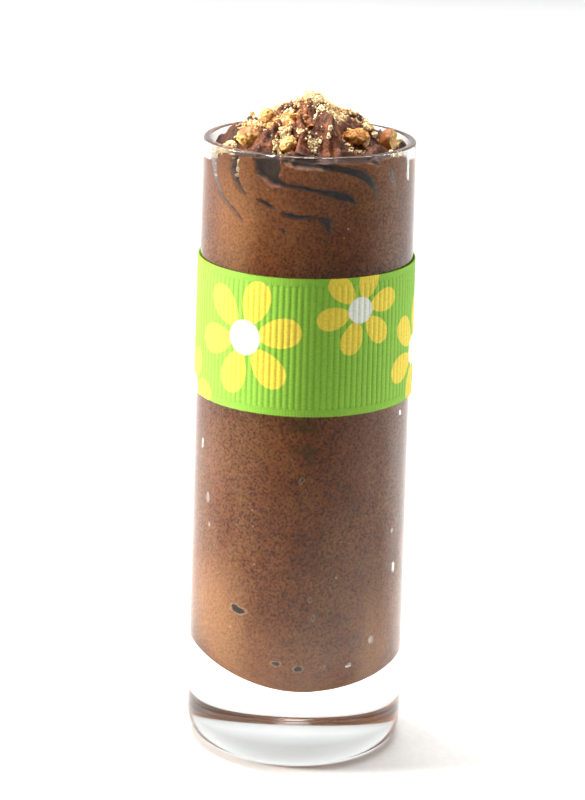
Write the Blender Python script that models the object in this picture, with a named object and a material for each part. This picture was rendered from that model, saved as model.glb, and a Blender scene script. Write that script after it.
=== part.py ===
"""Chocolate mousse, piped into a tall shot glass that wears a ribbon, with chopped nuts on top.

Run with: blender --background --python part.py
Units are metres, +Z is up, and the origin is the centre of the glass's underside.
An azimuth is measured round the glass in degrees, from the front at -Y towards +X.
"""

import math
from typing import NamedTuple

import bmesh
import bpy
from mathutils import Matrix, Vector, noise
from mathutils.bvhtree import BVHTree

# Glass: a tall shot glass with a heavy base, a little wider at the foot than at the rim.
GLASS_HEIGHT = 0.105
RIM_RADIUS = 0.01745
FOOT_RADIUS = 0.01865
LIP_THICKNESS = 0.0012
WALL_THICKNESS_LOW = 0.0019
FOOT_ROUNDING = 0.0038
BASE_THICKNESS = 0.0100
BOWL_DEPTH = 0.0120
PUNT_RADIUS = 0.0120
PUNT_DEPTH = 0.0007
GLASS_SEGMENTS = 64

# Mousse: fills the bowl, and is piped as a ridged rope that winds in and up to a peak.
MOUSSE_CLEARANCE = 0.0003
MOUSSE_SEGMENTS = 112
EDGE_BELOW_RIM = 0.0012
PEAK_ABOVE_RIM = 0.0074
ROPE_TURNS = 1.9
ROPE_START = 0.30
ROPE_HEIGHT = 0.0024
ROPE_FULL_RADIUS = 0.0085
RIDGES_OUTER = 17
RIDGES_INNER = 9
RIDGE_HEIGHT = 0.0016
RIDGE_LEAN = 1.1
EDGE_DIP = 0.0013
GROOVE_DEPTH = 0.0014
GROOVE_STEPS = 12
GROOVE_TAIL = 0.5

# Nuts: the largest of the chopped pieces, which lie on the mousse.
NUT_CLEARANCE = 0.0003
NUT_ROUGHNESS = 0.24
NUT_SINK = 0.0012

# Ribbon: a flat band, wrapped round the glass once and lapped at the back.
RIBBON_WIDTH = 0.0229
RIBBON_MIDDLE_HEIGHT = 0.0739
RIBBON_THICKNESS = 0.0003
RIBBON_CLEARANCE = 0.00015
RIBBON_TILT = math.radians(0.3)
RIBBON_LAP = math.radians(26)
RIBBON_LAP_RAMP = math.radians(20)
RIBBON_LAP_CLEARANCE = 0.0001
RIBBON_STEPS = 78


class Groove(NamedTuple):
    """A gap that the piping leaves against the glass, from the mousse's top edge down and round."""

    azimuth: float
    sweep: float
    reach: float
    bend: float
    width: float


GROOVES = (
    Groove(-61, 24, 0.0110, 1.8, 0.0034),
    Groove(-42, 52, 0.0124, 2.0, 0.0040),
    Groove(-23, 49, 0.0076, 3.0, 0.0046),
    Groove(-4, 42, 0.0060, 0.5, 0.0032),
    Groove(43, 8, 0.0062, 1.0, 0.0034),
    Groove(70, 26, 0.0088, 1.7, 0.0034),
    Groove(93, 50, 0.0116, 2.1, 0.0040),
    Groove(119, 44, 0.0074, 2.7, 0.0044),
    Groove(146, 38, 0.0060, 0.6, 0.0032),
    Groove(178, 25, 0.0102, 1.7, 0.0034),
    Groove(205, 48, 0.0120, 2.1, 0.0038),
    Groove(232, 42, 0.0078, 2.5, 0.0044),
    Groove(262, 24, 0.0064, 1.1, 0.0032),
)


class Nut(NamedTuple):
    """One chopped piece: where it lies, and its size along, across and up before it is turned."""

    azimuth: float
    across: float
    length: float
    width: float
    height: float
    turn: float


NUTS = (
    Nut(-57, 0.0122, 0.0036, 0.0030, 0.0026, 20),
    Nut(-17, 0.0124, 0.0026, 0.0024, 0.0024, 60),
    Nut(45, 0.0104, 0.0042, 0.0026, 0.0022, 25),
    Nut(78, 0.0134, 0.0034, 0.0028, 0.0030, 80),
    Nut(-92, 0.0070, 0.0024, 0.0022, 0.0020, 10),
    Nut(148, 0.0108, 0.0036, 0.0026, 0.0024, 50),
    Nut(-146, 0.0118, 0.0030, 0.0026, 0.0022, -30),
)


def smooth_step(value):
    """0 below 0, 1 above 1, and an S-curve between."""
    value = min(max(value, 0.0), 1.0)
    return value * value * (3 - 2 * value)


def mix(first, second, share):
    return first + (second - first) * share


def place(azimuth, across, up):
    """The point at this azimuth in degrees, distance from the axis, and height."""
    turn = math.radians(azimuth)
    return (across * math.sin(turn), -across * math.cos(turn), up)


def glass_radius(height):
    """The outer radius of the glass, which narrows evenly from foot to rim."""
    return mix(FOOT_RADIUS, RIM_RADIUS, height / GLASS_HEIGHT)


def bowl_radius(height):
    """The inner radius of the wall, above the rounded bottom of the bowl."""
    wall = mix(WALL_THICKNESS_LOW, LIP_THICKNESS, height / GLASS_HEIGHT)
    return glass_radius(height) - wall


def arc(centre, radii, start, end, steps):
    """Points (radius, height) on an arc of an ellipse, with both ends, from start to end in degrees."""
    points = []
    for step in range(steps + 1):
        angle = math.radians(mix(start, end, step / steps))
        across = centre[0] + radii[0] * math.cos(angle)
        up = centre[1] + radii[1] * math.sin(angle)
        points.append((across, up))
    return points


def bowl_bottom(clearance, steps):
    """The rounded bottom of the bowl, moved inwards by clearance, from the axis out to the wall."""
    top = BASE_THICKNESS + BOWL_DEPTH
    across = bowl_radius(top) - clearance
    return arc((0.0, top), (across, BOWL_DEPTH - clearance), -90, 0, steps)


def material(name, colour, roughness, transmission=0.0):
    made = bpy.data.materials.new(name)
    made.use_nodes = True
    shader = made.node_tree.nodes["Principled BSDF"]
    shader.inputs["Base Color"].default_value = (*colour, 1.0)
    shader.inputs["Roughness"].default_value = roughness
    shader.inputs["Metallic"].default_value = 0.0
    shader.inputs["Transmission Weight"].default_value = transmission
    return made


def add_object(name, mesh, finish, smooth_angle):
    """Links the mesh as an object, shaded smooth except at edges sharper than smooth_angle."""
    mesh.materials.append(finish)
    mesh.shade_smooth()
    mesh.set_sharp_from_angle(angle=smooth_angle)
    made = bpy.data.objects.new(name, mesh)
    bpy.context.scene.collection.objects.link(made)
    return made


def mesh_of(name, shape):
    """Turns the bmesh into a mesh whose faces point out, and frees it."""
    bmesh.ops.recalc_face_normals(shape, faces=shape.faces)
    mesh = bpy.data.meshes.new(name)
    shape.to_mesh(mesh)
    shape.free()
    return mesh


def build_glass():
    """The glass, turned from one profile that runs up the bowl, over the lip and down the outside."""
    lip = LIP_THICKNESS / 2
    lip_height = GLASS_HEIGHT - lip
    profile = bowl_bottom(0.0, 9)
    profile += arc((RIM_RADIUS - lip, lip_height), (lip, lip), 180, 0, 4)
    foot_centre = (glass_radius(FOOT_ROUNDING) - FOOT_ROUNDING, FOOT_ROUNDING)
    profile += arc(foot_centre, (FOOT_ROUNDING, FOOT_ROUNDING), 0, -90, 6)
    profile += arc((0.0, 0.0), (PUNT_RADIUS, PUNT_DEPTH), 0, 90, 4)
    mesh = bpy.data.meshes.new("glass")
    points = [(across, 0.0, up) for across, up in profile]
    mesh.from_pydata(points, [(i, i + 1) for i in range(len(points) - 1)], [])
    finish = material("clear_glass", (0.96, 0.98, 0.98), 0.03, transmission=1.0)
    glass = add_object("glass", mesh, finish, math.radians(40))
    turn = glass.modifiers.new("turn", "SCREW")
    turn.steps = GLASS_SEGMENTS
    turn.render_steps = GLASS_SEGMENTS
    turn.use_merge_vertices = True
    turn.merge_threshold = 0.00001
    return glass


def groove_share(azimuth, below):
    """How deep in a groove a point of the wall is, from 0 on the glass to 1 at a groove's middle."""
    deepest = 0.0
    for groove in GROOVES:
        for step in range(GROOVE_STEPS + 1):
            share = step / GROOVE_STEPS
            middle = groove.azimuth + groove.sweep * share**groove.bend
            away = (azimuth - middle + 180) % 360 - 180
            round_the_wall = math.radians(away) * RIM_RADIUS
            distance = math.hypot(round_the_wall, below - groove.reach * share)
            half = groove.width / 2 * mix(1.0, GROOVE_TAIL, share)
            deepest = max(deepest, smooth_step(1.3 - 1.3 * distance / half))
    return deepest


def mousse_reach():
    """How far out the mousse goes at its top edge."""
    return bowl_radius(GLASS_HEIGHT - EDGE_BELOW_RIM) - MOUSSE_CLEARANCE


def nut_press(azimuth, across):
    """How far the nuts flatten the ridges at a point, from 0 clear of them to 1 under one."""
    point = Vector(place(azimuth, across, 0.0))
    pressed = 0.0
    for nut in NUTS:
        distance = (point - Vector(place(nut.azimuth, nut.across, 0.0))).length
        pressed = max(pressed, smooth_step(2.3 - 2.6 * distance / nut.length))
    return pressed


def mousse_top(azimuth, across):
    """The height of the piped top: a rope that winds inwards and up, with ridges leaning across it."""
    share_out = across / mousse_reach()
    turns = ROPE_TURNS * share_out + azimuth / 360 + ROPE_START
    tier, along_section = divmod(turns, 1.0)
    back = math.sin(math.pi * along_section)
    count = RIDGES_OUTER if tier >= 1 else RIDGES_INNER
    lean = math.tau * RIDGE_LEAN * (along_section - 0.5)
    wave = 0.5 + 0.5 * math.cos(count * math.radians(azimuth) + lean)
    rope = ROPE_HEIGHT * (back - 0.6) + RIDGE_HEIGHT * back * (wave - 0.4)
    rope *= smooth_step(across / ROPE_FULL_RADIUS) * (1 - smooth_step(4 * share_out - 3))
    dip = EDGE_DIP * groove_share(azimuth, 0.0) * smooth_step(5 * share_out - 4)
    cone = GLASS_HEIGHT + mix(PEAK_ABOVE_RIM, -EDGE_BELOW_RIM, share_out)
    return mix(cone + rope - dip, cone - NUT_SINK, nut_press(azimuth, across))


def build_mousse():
    """The mousse, from the bottom of the bowl, up the wall, and in over the piped rope to the peak."""

    def bottom(across, up):
        return lambda azimuth: place(azimuth, across, up)

    def wall(share):
        """A ring on the wall, this share of the way from the bowl's rounding to the top edge."""

        def point(azimuth):
            up = mix(BASE_THICKNESS + BOWL_DEPTH, mousse_top(azimuth, mousse_reach()), share)
            back = GROOVE_DEPTH * groove_share(azimuth, GLASS_HEIGHT - up)
            return place(azimuth, bowl_radius(up) - MOUSSE_CLEARANCE - back, up)

        return point

    def top(share_out):
        def point(azimuth):
            back = GROOVE_DEPTH * groove_share(azimuth, 0.0) * smooth_step(5 * share_out - 4)
            across = mousse_reach() * share_out
            return place(azimuth, across - back, mousse_top(azimuth, across))

        return point

    makers = [bottom(across, up) for across, up in bowl_bottom(MOUSSE_CLEARANCE, 7)[1:]]
    makers += [wall(share) for share in (0.4, 0.8, 0.86, 0.9, 0.93, 0.955, 0.98, 1.0)]
    makers += [top(0.97 - 0.075 * step) for step in range(13)]
    shape = bmesh.new()
    azimuths = [360 * i / MOUSSE_SEGMENTS for i in range(MOUSSE_SEGMENTS)]
    rings = [[shape.verts.new(maker(azimuth)) for azimuth in azimuths] for maker in makers]
    for lower, upper in zip(rings, rings[1:]):
        for i in range(MOUSSE_SEGMENTS):
            j = (i + 1) % MOUSSE_SEGMENTS
            shape.faces.new((lower[i], lower[j], upper[j], upper[i]))
    low = BASE_THICKNESS + MOUSSE_CLEARANCE
    for ring, height in ((rings[0], low), (rings[-1], mousse_top(0.0, 0.0))):
        tip = shape.verts.new((0.0, 0.0, height))
        for i in range(MOUSSE_SEGMENTS):
            shape.faces.new((tip, ring[i], ring[(i + 1) % MOUSSE_SEGMENTS]))
    finish = material("chocolate_mousse", (0.185, 0.068, 0.028), 0.55)
    return add_object("mousse", mesh_of("mousse", shape), finish, math.radians(60))


def resting_lift(shape, bed):
    """How far up the shape goes for its lowest place to lie just clear of the bed."""
    high = Vector((0.0, 0.0, 2 * GLASS_HEIGHT))
    lifts = []
    for vertex in shape.verts:
        above = Vector((vertex.co.x, vertex.co.y, 0.0)) + high
        hit = bed.ray_cast(above, Vector((0.0, 0.0, -1.0)))[0]
        if hit is not None:
            lifts.append(hit.z - vertex.co.z)
    return max(lifts) + NUT_CLEARANCE


def build_nuts(mousse):
    """The largest chopped nuts, each a broken lump that lies on the mousse."""
    graph = bpy.context.evaluated_depsgraph_get()
    bed = BVHTree.FromObject(mousse, graph)
    finish = material("chopped_nut", (0.68, 0.50, 0.26), 0.7)
    for number, nut in enumerate(NUTS, start=1):
        shape = bmesh.new()
        bmesh.ops.create_icosphere(shape, subdivisions=2, radius=0.5)
        for vertex in shape.verts:
            vertex.co *= 1 + NUT_ROUGHNESS * noise.noise(2.6 * vertex.co + Vector((number, 0, 0)))
        bmesh.ops.scale(shape, vec=(nut.length, nut.width, nut.height), verts=shape.verts)
        turn = Matrix.Rotation(math.radians(nut.turn), 4, "Z")
        spot = Matrix.Translation(place(nut.azimuth, nut.across, 0.0))
        bmesh.ops.transform(shape, matrix=spot @ turn, verts=shape.verts)
        lift = (0.0, 0.0, resting_lift(shape, bed))
        bmesh.ops.translate(shape, vec=lift, verts=shape.verts)
        name = f"nut_{number}"
        add_object(name, mesh_of(name, shape), finish, math.radians(30))


def build_ribbon():
    """The ribbon: a thin strip wound once round the glass, its end lapped over its start."""
    half = RIBBON_WIDTH / 2
    turn = math.tau + RIBBON_LAP
    start = math.pi - RIBBON_LAP / 2
    lift = RIBBON_THICKNESS + RIBBON_LAP_CLEARANCE
    shape = bmesh.new()
    sections = []
    for step in range(RIBBON_STEPS + 1):
        along = turn * step / RIBBON_STEPS
        ramp = (along - math.tau + RIBBON_LAP_RAMP) / RIBBON_LAP_RAMP
        inner = RIBBON_CLEARANCE + lift * smooth_step(ramp)
        outer = inner + RIBBON_THICKNESS
        azimuth = math.degrees(start + along)
        section = []
        for offset, side in ((inner, -1), (outer, -1), (outer, 1), (inner, 1)):
            level = RIBBON_MIDDLE_HEIGHT + side * half
            x, y, up = place(azimuth, glass_radius(level) + offset, level)
            section.append(shape.verts.new((x, y, up + x * math.tan(RIBBON_TILT))))
        sections.append(section)
    for this, following in zip(sections, sections[1:]):
        for i in range(4):
            j = (i + 1) % 4
            shape.faces.new((this[i], this[j], following[j], following[i]))
    shape.faces.new(sections[0])
    shape.faces.new(sections[-1])
    finish = material("grosgrain_ribbon", (0.30, 0.67, 0.07), 0.6)
    return add_object("ribbon", mesh_of("ribbon", shape), finish, math.radians(40))


def main():
    for leftover in list(bpy.data.objects):
        bpy.data.objects.remove(leftover)
    build_glass()
    mousse = build_mousse()
    build_nuts(mousse)
    build_ribbon()


if __name__ == "__main__":
    main()
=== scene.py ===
"""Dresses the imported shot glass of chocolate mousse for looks.

The glass, the mousse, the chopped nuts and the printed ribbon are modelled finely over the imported
solids, crumbs are scattered on the piped top, and a plain soft studio is set up round them.
Units are metres, +Z is up, the front faces -Y, and an azimuth is measured in degrees round the
glass from the front towards +X.
"""

import logging
import math
from dataclasses import dataclass, field
from enum import Enum
from typing import Any, Sequence

import bpy
import numpy as np
from mathutils import Matrix, Vector, noise


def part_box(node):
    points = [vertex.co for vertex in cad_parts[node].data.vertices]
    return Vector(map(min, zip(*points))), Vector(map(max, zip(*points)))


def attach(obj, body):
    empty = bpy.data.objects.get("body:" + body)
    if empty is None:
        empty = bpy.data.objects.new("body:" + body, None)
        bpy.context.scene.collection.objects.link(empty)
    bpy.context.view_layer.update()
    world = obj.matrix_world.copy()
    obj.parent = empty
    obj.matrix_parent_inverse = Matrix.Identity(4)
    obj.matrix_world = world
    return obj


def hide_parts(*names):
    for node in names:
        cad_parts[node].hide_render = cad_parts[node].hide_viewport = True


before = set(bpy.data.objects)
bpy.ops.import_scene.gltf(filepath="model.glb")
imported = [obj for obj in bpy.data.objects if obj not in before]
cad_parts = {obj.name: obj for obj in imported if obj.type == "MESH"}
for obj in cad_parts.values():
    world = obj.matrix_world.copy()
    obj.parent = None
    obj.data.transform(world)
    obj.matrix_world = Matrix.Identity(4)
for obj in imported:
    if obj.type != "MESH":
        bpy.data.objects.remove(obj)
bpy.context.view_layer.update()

BODY = "root"
MM = 0.001
UV_PER_METRE = 10.0
LOG = logging.getLogger("dessert")

Colour = tuple[float, float, float, float]
Stops = Sequence[tuple[float, str]]
Tree = bpy.types.NodeTree
Socket = bpy.types.NodeSocket


# ---------------------------------------------------------------- small helpers


def linear(code: str) -> Colour:
    """Turn an sRGB hex colour into the linear values that a shader takes.

    Args:
        code: The colour as "#rrggbb".

    Returns:
        Red, green, blue and an alpha of 1, linear.
    """
    parts = [int(code[i : i + 2], 16) / 255 for i in (1, 3, 5)]
    shades = [p / 12.92 if p <= 0.04045 else ((p + 0.055) / 1.055) ** 2.4 for p in parts]
    return (shades[0], shades[1], shades[2], 1.0)


def mix(first: Any, second: Any, share: Any) -> Any:
    """Go from first to second by a share from 0 to 1, for numbers and arrays."""
    return first + (second - first) * share


def smooth(value: Any) -> Any:
    """Return 0 below 0, 1 above 1, and an S-curve between, for numbers and arrays."""
    held = np.clip(value, 0.0, 1.0)
    return held * held * (3 - 2 * held)


def arc(
    centre: tuple[float, float], radii: tuple[float, float], start: float, end: float, steps: int
) -> list[tuple[float, float]]:
    """Lay points on an arc of an ellipse, both ends included.

    Args:
        centre: Distance from the axis and height of the arc's centre.
        radii: Half widths across and up.
        start: First angle in degrees.
        end: Last angle in degrees.
        steps: Number of stretches.

    Returns:
        Points as (across, up).
    """
    angles = np.radians(np.linspace(start, end, steps + 1))
    return [
        (centre[0] + radii[0] * math.cos(a), centre[1] + radii[1] * math.sin(a)) for a in angles
    ]


def place(azimuth: Any, across: Any, up: Any) -> np.ndarray:
    """Turn azimuth in degrees, distance from the axis and height into points.

    Args:
        azimuth: Number or array, in degrees from the front.
        across: Distance from the axis.
        up: Height.

    Returns:
        An array whose last axis holds x, y and z.
    """
    turn = np.radians(azimuth)
    parts = np.broadcast_arrays(across * np.sin(turn), -across * np.cos(turn), up)
    return np.stack(parts, axis=-1)


def azimuth_of(points: np.ndarray) -> np.ndarray:
    """Return the azimuth in degrees of each point, from -180 to 180."""
    return np.degrees(np.arctan2(points[:, 0], -points[:, 1]))


def across_of(points: np.ndarray) -> np.ndarray:
    """Return each point's distance from the glass's axis."""
    return np.hypot(points[:, 0], points[:, 1])


def turn_from(azimuth: Any, middle: float) -> Any:
    """Return the degrees from a middle to an azimuth, the shorter way round."""
    return (azimuth - middle + 180) % 360 - 180


def noise_at(points: np.ndarray, scale: float, shift: float) -> np.ndarray:
    """Read smooth noise, about -1 to 1, at many points.

    Args:
        points: Array of x, y, z.
        scale: Size of one lump, in metres.
        shift: Moves the reading, so that two uses differ.

    Returns:
        One number for each point.
    """
    flat = points.reshape(-1, 3) / scale + shift
    read = [noise.noise(Vector(p)) for p in flat]
    return np.array(read).reshape(points.shape[:-1])


def deselect() -> None:
    """Leave object mode with nothing selected, so that an operator acts on what follows alone."""
    if bpy.context.mode != "OBJECT":
        bpy.ops.object.mode_set(mode="OBJECT")
    bpy.ops.object.select_all(action="DESELECT")


def activate(piece: bpy.types.Object) -> None:
    """Select one piece alone and make it the active one.

    Args:
        piece: The piece.
    """
    deselect()
    piece.select_set(True)
    bpy.context.view_layer.objects.active = piece


def named(name: str) -> bpy.types.Object:
    """Give the new active object and its mesh a name.

    Args:
        name: The piece's name.

    Returns:
        The object.
    """
    piece = bpy.context.object
    piece.name = name
    piece.data.name = name
    return piece


def apply_modifiers(piece: bpy.types.Object) -> None:
    """Make each modifier of the piece part of its mesh.

    Args:
        piece: The piece.
    """
    activate(piece)
    for modifier in list(piece.modifiers):
        bpy.ops.object.modifier_apply(modifier=modifier.name)


def settle(piece: bpy.types.Object) -> None:
    """Put the object's place, turn and scale into its mesh."""
    activate(piece)
    bpy.ops.object.transform_apply(location=True, rotation=True, scale=True)


def points_of(piece: bpy.types.Object) -> np.ndarray:
    """Read the mesh's points as an array of x, y, z.

    Args:
        piece: The piece.

    Returns:
        One row for each point.
    """
    found = np.empty(len(piece.data.vertices) * 3)
    piece.data.vertices.foreach_get("co", found)
    return found.reshape(-1, 3)


def move_points(piece: bpy.types.Object, points: np.ndarray) -> None:
    """Shape the mesh by giving each of its points a new place."""
    piece.data.vertices.foreach_set("co", points.reshape(-1))
    piece.data.update()


def face_corners(piece: bpy.types.Object) -> np.ndarray:
    """Read which of the mesh's points each corner of each face uses.

    Args:
        piece: The piece.

    Returns:
        The number of a point for each corner, face by face.
    """
    corners = np.zeros(len(piece.data.loops), dtype=np.int32)
    piece.data.loops.foreach_get("vertex_index", corners)
    return corners


def highest_in_face(piece: bpy.types.Object, values: np.ndarray) -> np.ndarray:
    """Return for each face the highest of its points' numbers.

    Args:
        piece: The piece.
        values: One number for each point of its mesh.

    Returns:
        One number for each face.
    """
    starts = np.zeros(len(piece.data.polygons), dtype=np.int32)
    piece.data.polygons.foreach_get("loop_start", starts)
    return np.maximum.reduceat(values[face_corners(piece)], starts)


def face_outwards(piece: bpy.types.Object) -> None:
    """Turn the faces of a closed piece outwards and shade it smooth.

    Args:
        piece: The piece.
    """
    activate(piece)
    bpy.ops.object.mode_set(mode="EDIT")
    bpy.ops.mesh.select_all(action="SELECT")
    bpy.ops.mesh.normals_make_consistent(inside=False)
    bpy.ops.object.mode_set(mode="OBJECT")
    piece.data.shade_smooth()


def write_values(piece: bpy.types.Object, name: str, values: np.ndarray) -> None:
    """Store one number for each point under a name that a material reads.

    Args:
        piece: The piece.
        name: The name.
        values: The numbers.
    """
    made = piece.data.attributes.new(name, "FLOAT", "POINT")
    made.data.foreach_set("value", values.astype(np.float32).reshape(-1))


def turned(name: str, profile: Sequence[tuple[float, float]], steps: int) -> bpy.types.Object:
    """Spin a profile into a closed round body, as on a lathe.

    Args:
        name: The piece's name.
        profile: Points as (across, up), both ends on the axis.
        steps: Number of steps round.

    Returns:
        The finished object, smooth, with its faces outwards.
    """
    deselect()
    bpy.ops.mesh.primitive_plane_add(size=MM)
    piece = named(name)
    bpy.ops.object.mode_set(mode="EDIT")
    bpy.ops.mesh.merge(type="CENTER")
    bpy.ops.transform.translate(value=(profile[0][0], 0.0, profile[0][1]))
    for (across, up), (next_across, next_up) in zip(profile, profile[1:]):
        step = {"value": (next_across - across, 0.0, next_up - up)}
        bpy.ops.mesh.extrude_region_move(TRANSFORM_OT_translate=step)
    bpy.ops.mesh.select_all(action="SELECT")
    bpy.ops.mesh.spin(steps=steps, angle=math.tau, center=(0, 0, 0), axis=(0, 0, 1))
    bpy.ops.mesh.select_all(action="SELECT")
    bpy.ops.mesh.remove_doubles(threshold=1e-6)
    face_outwards(piece)
    return piece


def add_node(
    tree: Tree,
    kind: str,
    settings: dict[str | int, Any] | None = None,
    links: dict[str | int, Socket] | None = None,
) -> bpy.types.Node:
    """Add a shader node, set it up and link what feeds it.

    Args:
        tree: The material's node tree.
        kind: The node's type, without "ShaderNode".
        settings: Property names, or input names or numbers, with their values.
        links: Input names or numbers, with the outputs that feed them.

    Returns:
        The node.
    """
    made = tree.nodes.new(f"ShaderNode{kind}")
    for key, value in (settings or {}).items():
        if isinstance(key, str) and hasattr(made, key):
            setattr(made, key, value)
        else:
            made.inputs[key].default_value = value
    for key, source in (links or {}).items():
        tree.links.new(source, made.inputs[key])
    return made


def ramp(tree: Tree, source: Socket, stops: Stops) -> Socket:
    """Turn a number into a colour by stops.

    Args:
        tree: The material's node tree.
        source: The number, 0 to 1.
        stops: Places and hex colours, in order.

    Returns:
        The colour output.
    """
    made = add_node(tree, "ValToRGB", links={0: source})
    elements = made.color_ramp.elements
    while len(elements) < len(stops):
        elements.new(0.5)
    for element, (spot, code) in zip(elements, stops):
        element.position = spot
        element.color = linear(code)
    return made.outputs["Color"]


def blended(tree: Tree, share: Any, first: Any, second: Any, way: str = "MIX") -> Socket:
    """Mix two colours.

    Args:
        tree: The material's node tree.
        share: How much of the second, a number or an output.
        first: A colour or an output.
        second: A colour or an output.
        way: Blender's blend type.

    Returns:
        The mixed colour.
    """
    made = add_node(tree, "Mix", {"data_type": "RGBA", "blend_type": way})
    for number, value in ((0, share), (6, first), (7, second)):
        if isinstance(value, Socket):
            tree.links.new(value, made.inputs[number])
        else:
            made.inputs[number].default_value = value
    return made.outputs[2]


def maths(tree: Tree, way: str, *values: Any, held: bool = False) -> Any:
    """Work out one number from others.

    Args:
        tree: The material's node tree.
        way: Blender's name of the operation.
        values: Numbers or outputs.
        held: Whether the result is kept between 0 and 1.

    Returns:
        The number output.
    """
    made = add_node(tree, "Math", {"operation": way, "use_clamp": held})
    for number, value in enumerate(values):
        if isinstance(value, Socket):
            tree.links.new(value, made.inputs[number])
        else:
            made.inputs[number].default_value = value
    return made.outputs[0]


def lumps(
    tree: Tree,
    spots: Socket,
    size: float,
    detail: float = 2.0,
    roughness: float = 0.5,
    distortion: float = 0.0,
) -> Socket:
    """Add a noise pattern whose lumps have a real size.

    Args:
        tree: The material's node tree.
        spots: The coordinates, in metres.
        size: The size of one lump, in metres.
        detail: How many finer layers of noise it has.
        roughness: How strong the finer layers are.
        distortion: How far the lumps are pulled about.

    Returns:
        The pattern, about 0.3 to 0.7.
    """
    settings = {
        "Scale": 1 / size,
        "Detail": detail,
        "Roughness": roughness,
        "Distortion": distortion,
    }
    return add_node(tree, "TexNoise", settings, {"Vector": spots}).outputs[0]


def add_relief(
    tree: Tree, shader: bpy.types.Node, height: Socket, strength: float, deep: float
) -> None:
    """Give a shader a fine relief.

    Args:
        tree: The material's node tree.
        shader: The Principled shader.
        height: The relief's height, 0 to 1.
        strength: How much of it shows.
        deep: The depth in metres that 0 to 1 stands for.
    """
    bump = add_node(tree, "Bump", {"Strength": strength, "Distance": deep}, {"Height": height})
    tree.links.new(bump.outputs[0], shader.inputs["Normal"])


# ---------------------------------------------------------------- finishes


@dataclass(frozen=True)
class Finish:
    """A material, named for what the real one is."""

    name: str

    def make(self) -> bpy.types.Material:
        """Make the material from a plain Principled shader.

        Returns:
            The material.
        """
        made = bpy.data.materials.new(self.name)
        made.use_nodes = True
        self.dress(made.node_tree, made.node_tree.nodes["Principled BSDF"])
        return made

    def dress(self, tree: Tree, shader: bpy.types.Node) -> None:
        """Give the shader the finish's own values and patterns.

        Args:
            tree: The material's node tree.
            shader: The Principled shader.
        """
        raise NotImplementedError

    def spots(self, tree: Tree) -> Socket:
        """Return the Object coordinates, in metres."""
        return add_node(tree, "TexCoord").outputs["Object"]

    def value(self, tree: Tree, name: str) -> Socket:
        """Return one of the numbers stored on the mesh's points."""
        return add_node(tree, "Attribute", {"attribute_name": name}).outputs["Fac"]


@dataclass(frozen=True)
class PressedGlass(Finish):
    """Soda-lime glass, machine pressed and fire polished: clear, hard reflections, a faint waviness."""

    name: str = "soda_lime_glass_fire_polished"
    ior: float = 1.52
    wave_size: float = 11 * MM
    wave_height: float = 0.02 * MM
    wave_strength: float = 0.35

    def dress(self, tree: Tree, shader: bpy.types.Node) -> None:
        """Make it clear and smooth, and hardly wavy.

        Args:
            tree: The material's node tree.
            shader: The Principled shader.
        """
        shader.inputs["Base Color"].default_value = linear("#fbfefd")
        shader.inputs["Roughness"].default_value = 0.0
        shader.inputs["IOR"].default_value = self.ior
        shader.inputs["Transmission Weight"].default_value = 1.0
        waves = lumps(tree, self.spots(tree), self.wave_size, detail=1.0)
        add_relief(tree, shader, waves, self.wave_strength, self.wave_height)


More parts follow.
